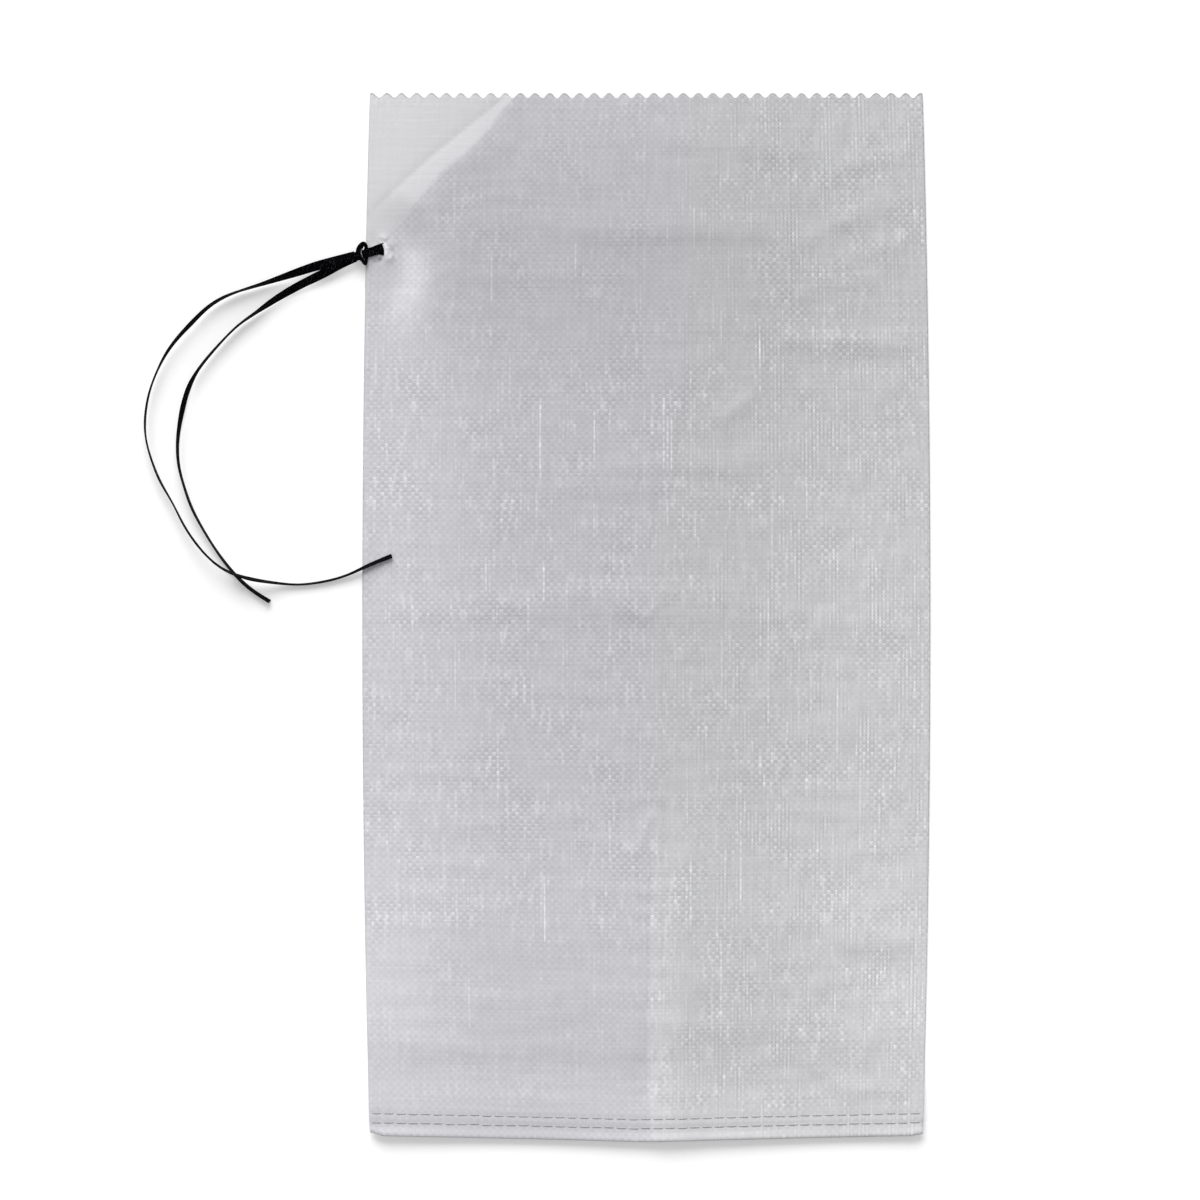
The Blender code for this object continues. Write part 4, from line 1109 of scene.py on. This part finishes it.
def spun_thread():
    """White spun polyester sewing thread of twisted plies: matt, with slanting ply lines."""
    made, tree, shader = new_material("spun_polyester_thread")
    place = add_node(tree, "TexCoord", output="Object")
    waves = {"Vector": place, "Scale": ONE_WAVE / PLY_PITCH, "Distortion": 0.6}
    plies = add_node(tree, "TexWave", waves, "Fac", bands_direction="DIAGONAL")
    # greys darker than the cloth: painted shade of the stitches sunk in their grooves
    tints = {"Factor": plies, 6: linear("#9C9CA0"), 7: linear("#B6B6BA")}
    colour = add_node(tree, "Mix", tints, 2, data_type="RGBA")
    bump = add_node(tree, "Bump", {"Height": plies, "Strength": 0.8, "Distance": 0.0001})
    set_inputs(tree, shader, {"Base Color": colour, "Normal": bump, "Roughness": 0.75})
    return made


def black_tie_tape(name, edge_colour):
    """Black polypropylene tape, woven narrow and flat with slanting ribs that catch a faint light, and painted
    highlight flecks on their crowns.

    One edge takes its own colour: on the wrap it is a pale painted highlight along the edge of the tape where
    it is bent round the tails.
    """
    made, tree, shader = new_material(name)
    place = add_node(tree, "UVMap", uv_map="tape")
    turned = add_node(tree, "Mapping", {"Vector": place, "Rotation": (0.0, 0.0, math.radians(35))})
    waves = {"Vector": turned, "Scale": ONE_WAVE / RIB_PITCH, "Distortion": 1.2}
    waves.update({"Detail": 1.0, "Detail Scale": 2.0})
    ribs = add_node(tree, "TexWave", waves, "Fac", bands_direction="Y")
    # painted highlights: pale flecks a little over a millimetre across, on the ribs' crowns
    field = {"Vector": place, "Scale": 900.0, "Detail": 2.0, "Roughness": 0.7}
    flecks = add_node(tree, "TexNoise", field, "Fac", noise_dimensions="2D")
    painted_rib_highlights = add_node(tree, "Math", (ribs, flecks), operation="MULTIPLY")
    amount = add_node(tree, "MapRange", (painted_rib_highlights, 0.50, 0.68))
    at_edge = add_node(tree, "MapRange", (add_node(tree, "SeparateXYZ", (place,)), -0.0022, -0.0027))
    colour = linear("#010102")
    for share, other in ((amount, "#4A4A50"), (at_edge, edge_colour)):
        colour = add_node(tree, "Mix", {"Factor": share, 6: colour, 7: linear(other)}, 2, data_type="RGBA")
    bump = add_node(tree, "Bump", {"Height": ribs, "Strength": 0.7, "Distance": 0.00012})
    looks = {"Base Color": colour, "Normal": bump, "Roughness": 0.6, "Specular IOR Level": 0.015}
    set_inputs(tree, shader, looks)
    return made


def matt_white_floor():
    """Matt white paper sweep. Seen straight or in a reflection it is white, and it keeps the bag's shadow."""
    made, tree, shader = new_material("matt_white_paper_floor")
    set_inputs(tree, shader, {"Base Color": linear("#F0F0F0"), "Roughness": 0.9, "Specular IOR Level": 0.0})
    camera, glossy, through = (
        add_node(tree, "LightPath", output=f"Is {ray} Ray") for ray in ("Camera", "Glossy", "Transmission")
    )
    seen = add_node(tree, "Math", (camera, glossy), operation="ADD")
    seen = add_node(tree, "Math", (seen, through), operation="ADD", use_clamp=True)
    strength = add_node(tree, "Math", (seen, FLOOR_GLOW), operation="MULTIPLY")
    glow = add_node(tree, "Emission", {"Color": (1, 1, 1, 1), "Strength": strength})
    both = add_node(tree, "AddShader", (shader.outputs[0], glow))
    tree.links.new(both, tree.nodes["Material Output"].inputs["Surface"])
    return made


# Camera, light and floor


def make_camera():
    camera = bpy.data.cameras.new("camera")
    camera.sensor_width = SENSOR
    camera.lens = SENSOR * CAMERA_HEIGHT / VIEW_WIDTH
    camera.clip_end = 20.0
    holder = bpy.data.objects.new("camera", camera)
    holder.location = (*VIEW_CENTRE, CAMERA_HEIGHT)
    bpy.context.scene.collection.objects.link(holder)
    bpy.context.scene.camera = holder


def make_light():
    """A large softbox up to the left of the bag's mouth, far enough to light it evenly, in a white room."""
    world = bpy.data.worlds.new("white_room")
    world.use_nodes = True
    background = world.node_tree.nodes["Background"]
    background.inputs["Color"].default_value = (1.0, 1.0, 1.0, 1.0)
    background.inputs["Strength"].default_value = ROOM_LIGHT
    bpy.context.scene.world = world
    softbox = bpy.data.lights.new("softbox", "SUN")
    softbox.angle = SOFTBOX_SIZE
    softbox.energy = SOFTBOX_LIGHT * math.pi / math.sin(SOFTBOX_HEIGHT)
    holder = bpy.data.objects.new("softbox", softbox)
    level = math.cos(SOFTBOX_HEIGHT)
    side, ahead = math.sin(SOFTBOX_SIDE) * level, math.cos(SOFTBOX_SIDE) * level
    toward = Vector((-side, ahead, math.sin(SOFTBOX_HEIGHT)))
    holder.rotation_euler = toward.to_track_quat("Z", "Y").to_euler()
    holder.location = toward * 3.0
    bpy.context.scene.collection.objects.link(holder)


def make_floor(made_of):
    bpy.ops.mesh.primitive_plane_add(size=12.0, location=(0.0, 0.0, 0.0))
    floor = bpy.context.object
    floor.name = "floor"
    floor.data.materials.append(made_of)
    return floor


def main():
    bpy.context.scene.view_settings.view_transform = "Standard"
    make_camera()
    tape = black_tie_tape("black_woven_tie_tape", "#050506")
    loop = make_tie_loop(tape)
    # the wrap's tape has a pale painted highlight along one edge
    wrap = make_tie_wrap(black_tie_tape("black_woven_tie_tape_painted_edge_highlight", "#C4C4C8"))
    long_form = (LONG_TAIL, LONG_TAIL_ASIDE, LONG_SHOWN, LONG_TAIL_RISE, LONG_TAIL_HOVER, LONG_GATHER)
    short_form = (SHORT_TAIL, SHORT_TAIL_ASIDE, SHORT_SHOWN, SHORT_TAIL_RISE, SHORT_TAIL_HOVER, SHORT_GATHER)
    long_tail, long_route = make_tail("tie_tail_long_tape", *long_form, tape)
    short_tail, short_route = make_tail("tie_tail_short_tape", *short_form, tape)
    tie_nodes = {loop: "tie_knot", wrap: "tie_knot", long_tail: "tie_tail_long", short_tail: "tie_tail_short"}
    for piece, node in tie_nodes.items():
        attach(piece, "root")
        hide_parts(node)
    bag = make_bag_cloth(woven_polypropylene())
    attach(bag, "root")
    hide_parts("bag")
    thread = spun_thread()
    for name, height in STITCH_ROWS:
        row = make_stitch_row(name, height, thread)
        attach(row, "root")
        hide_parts(name)
    make_light()
    floor = make_floor(matt_white_floor())


main()
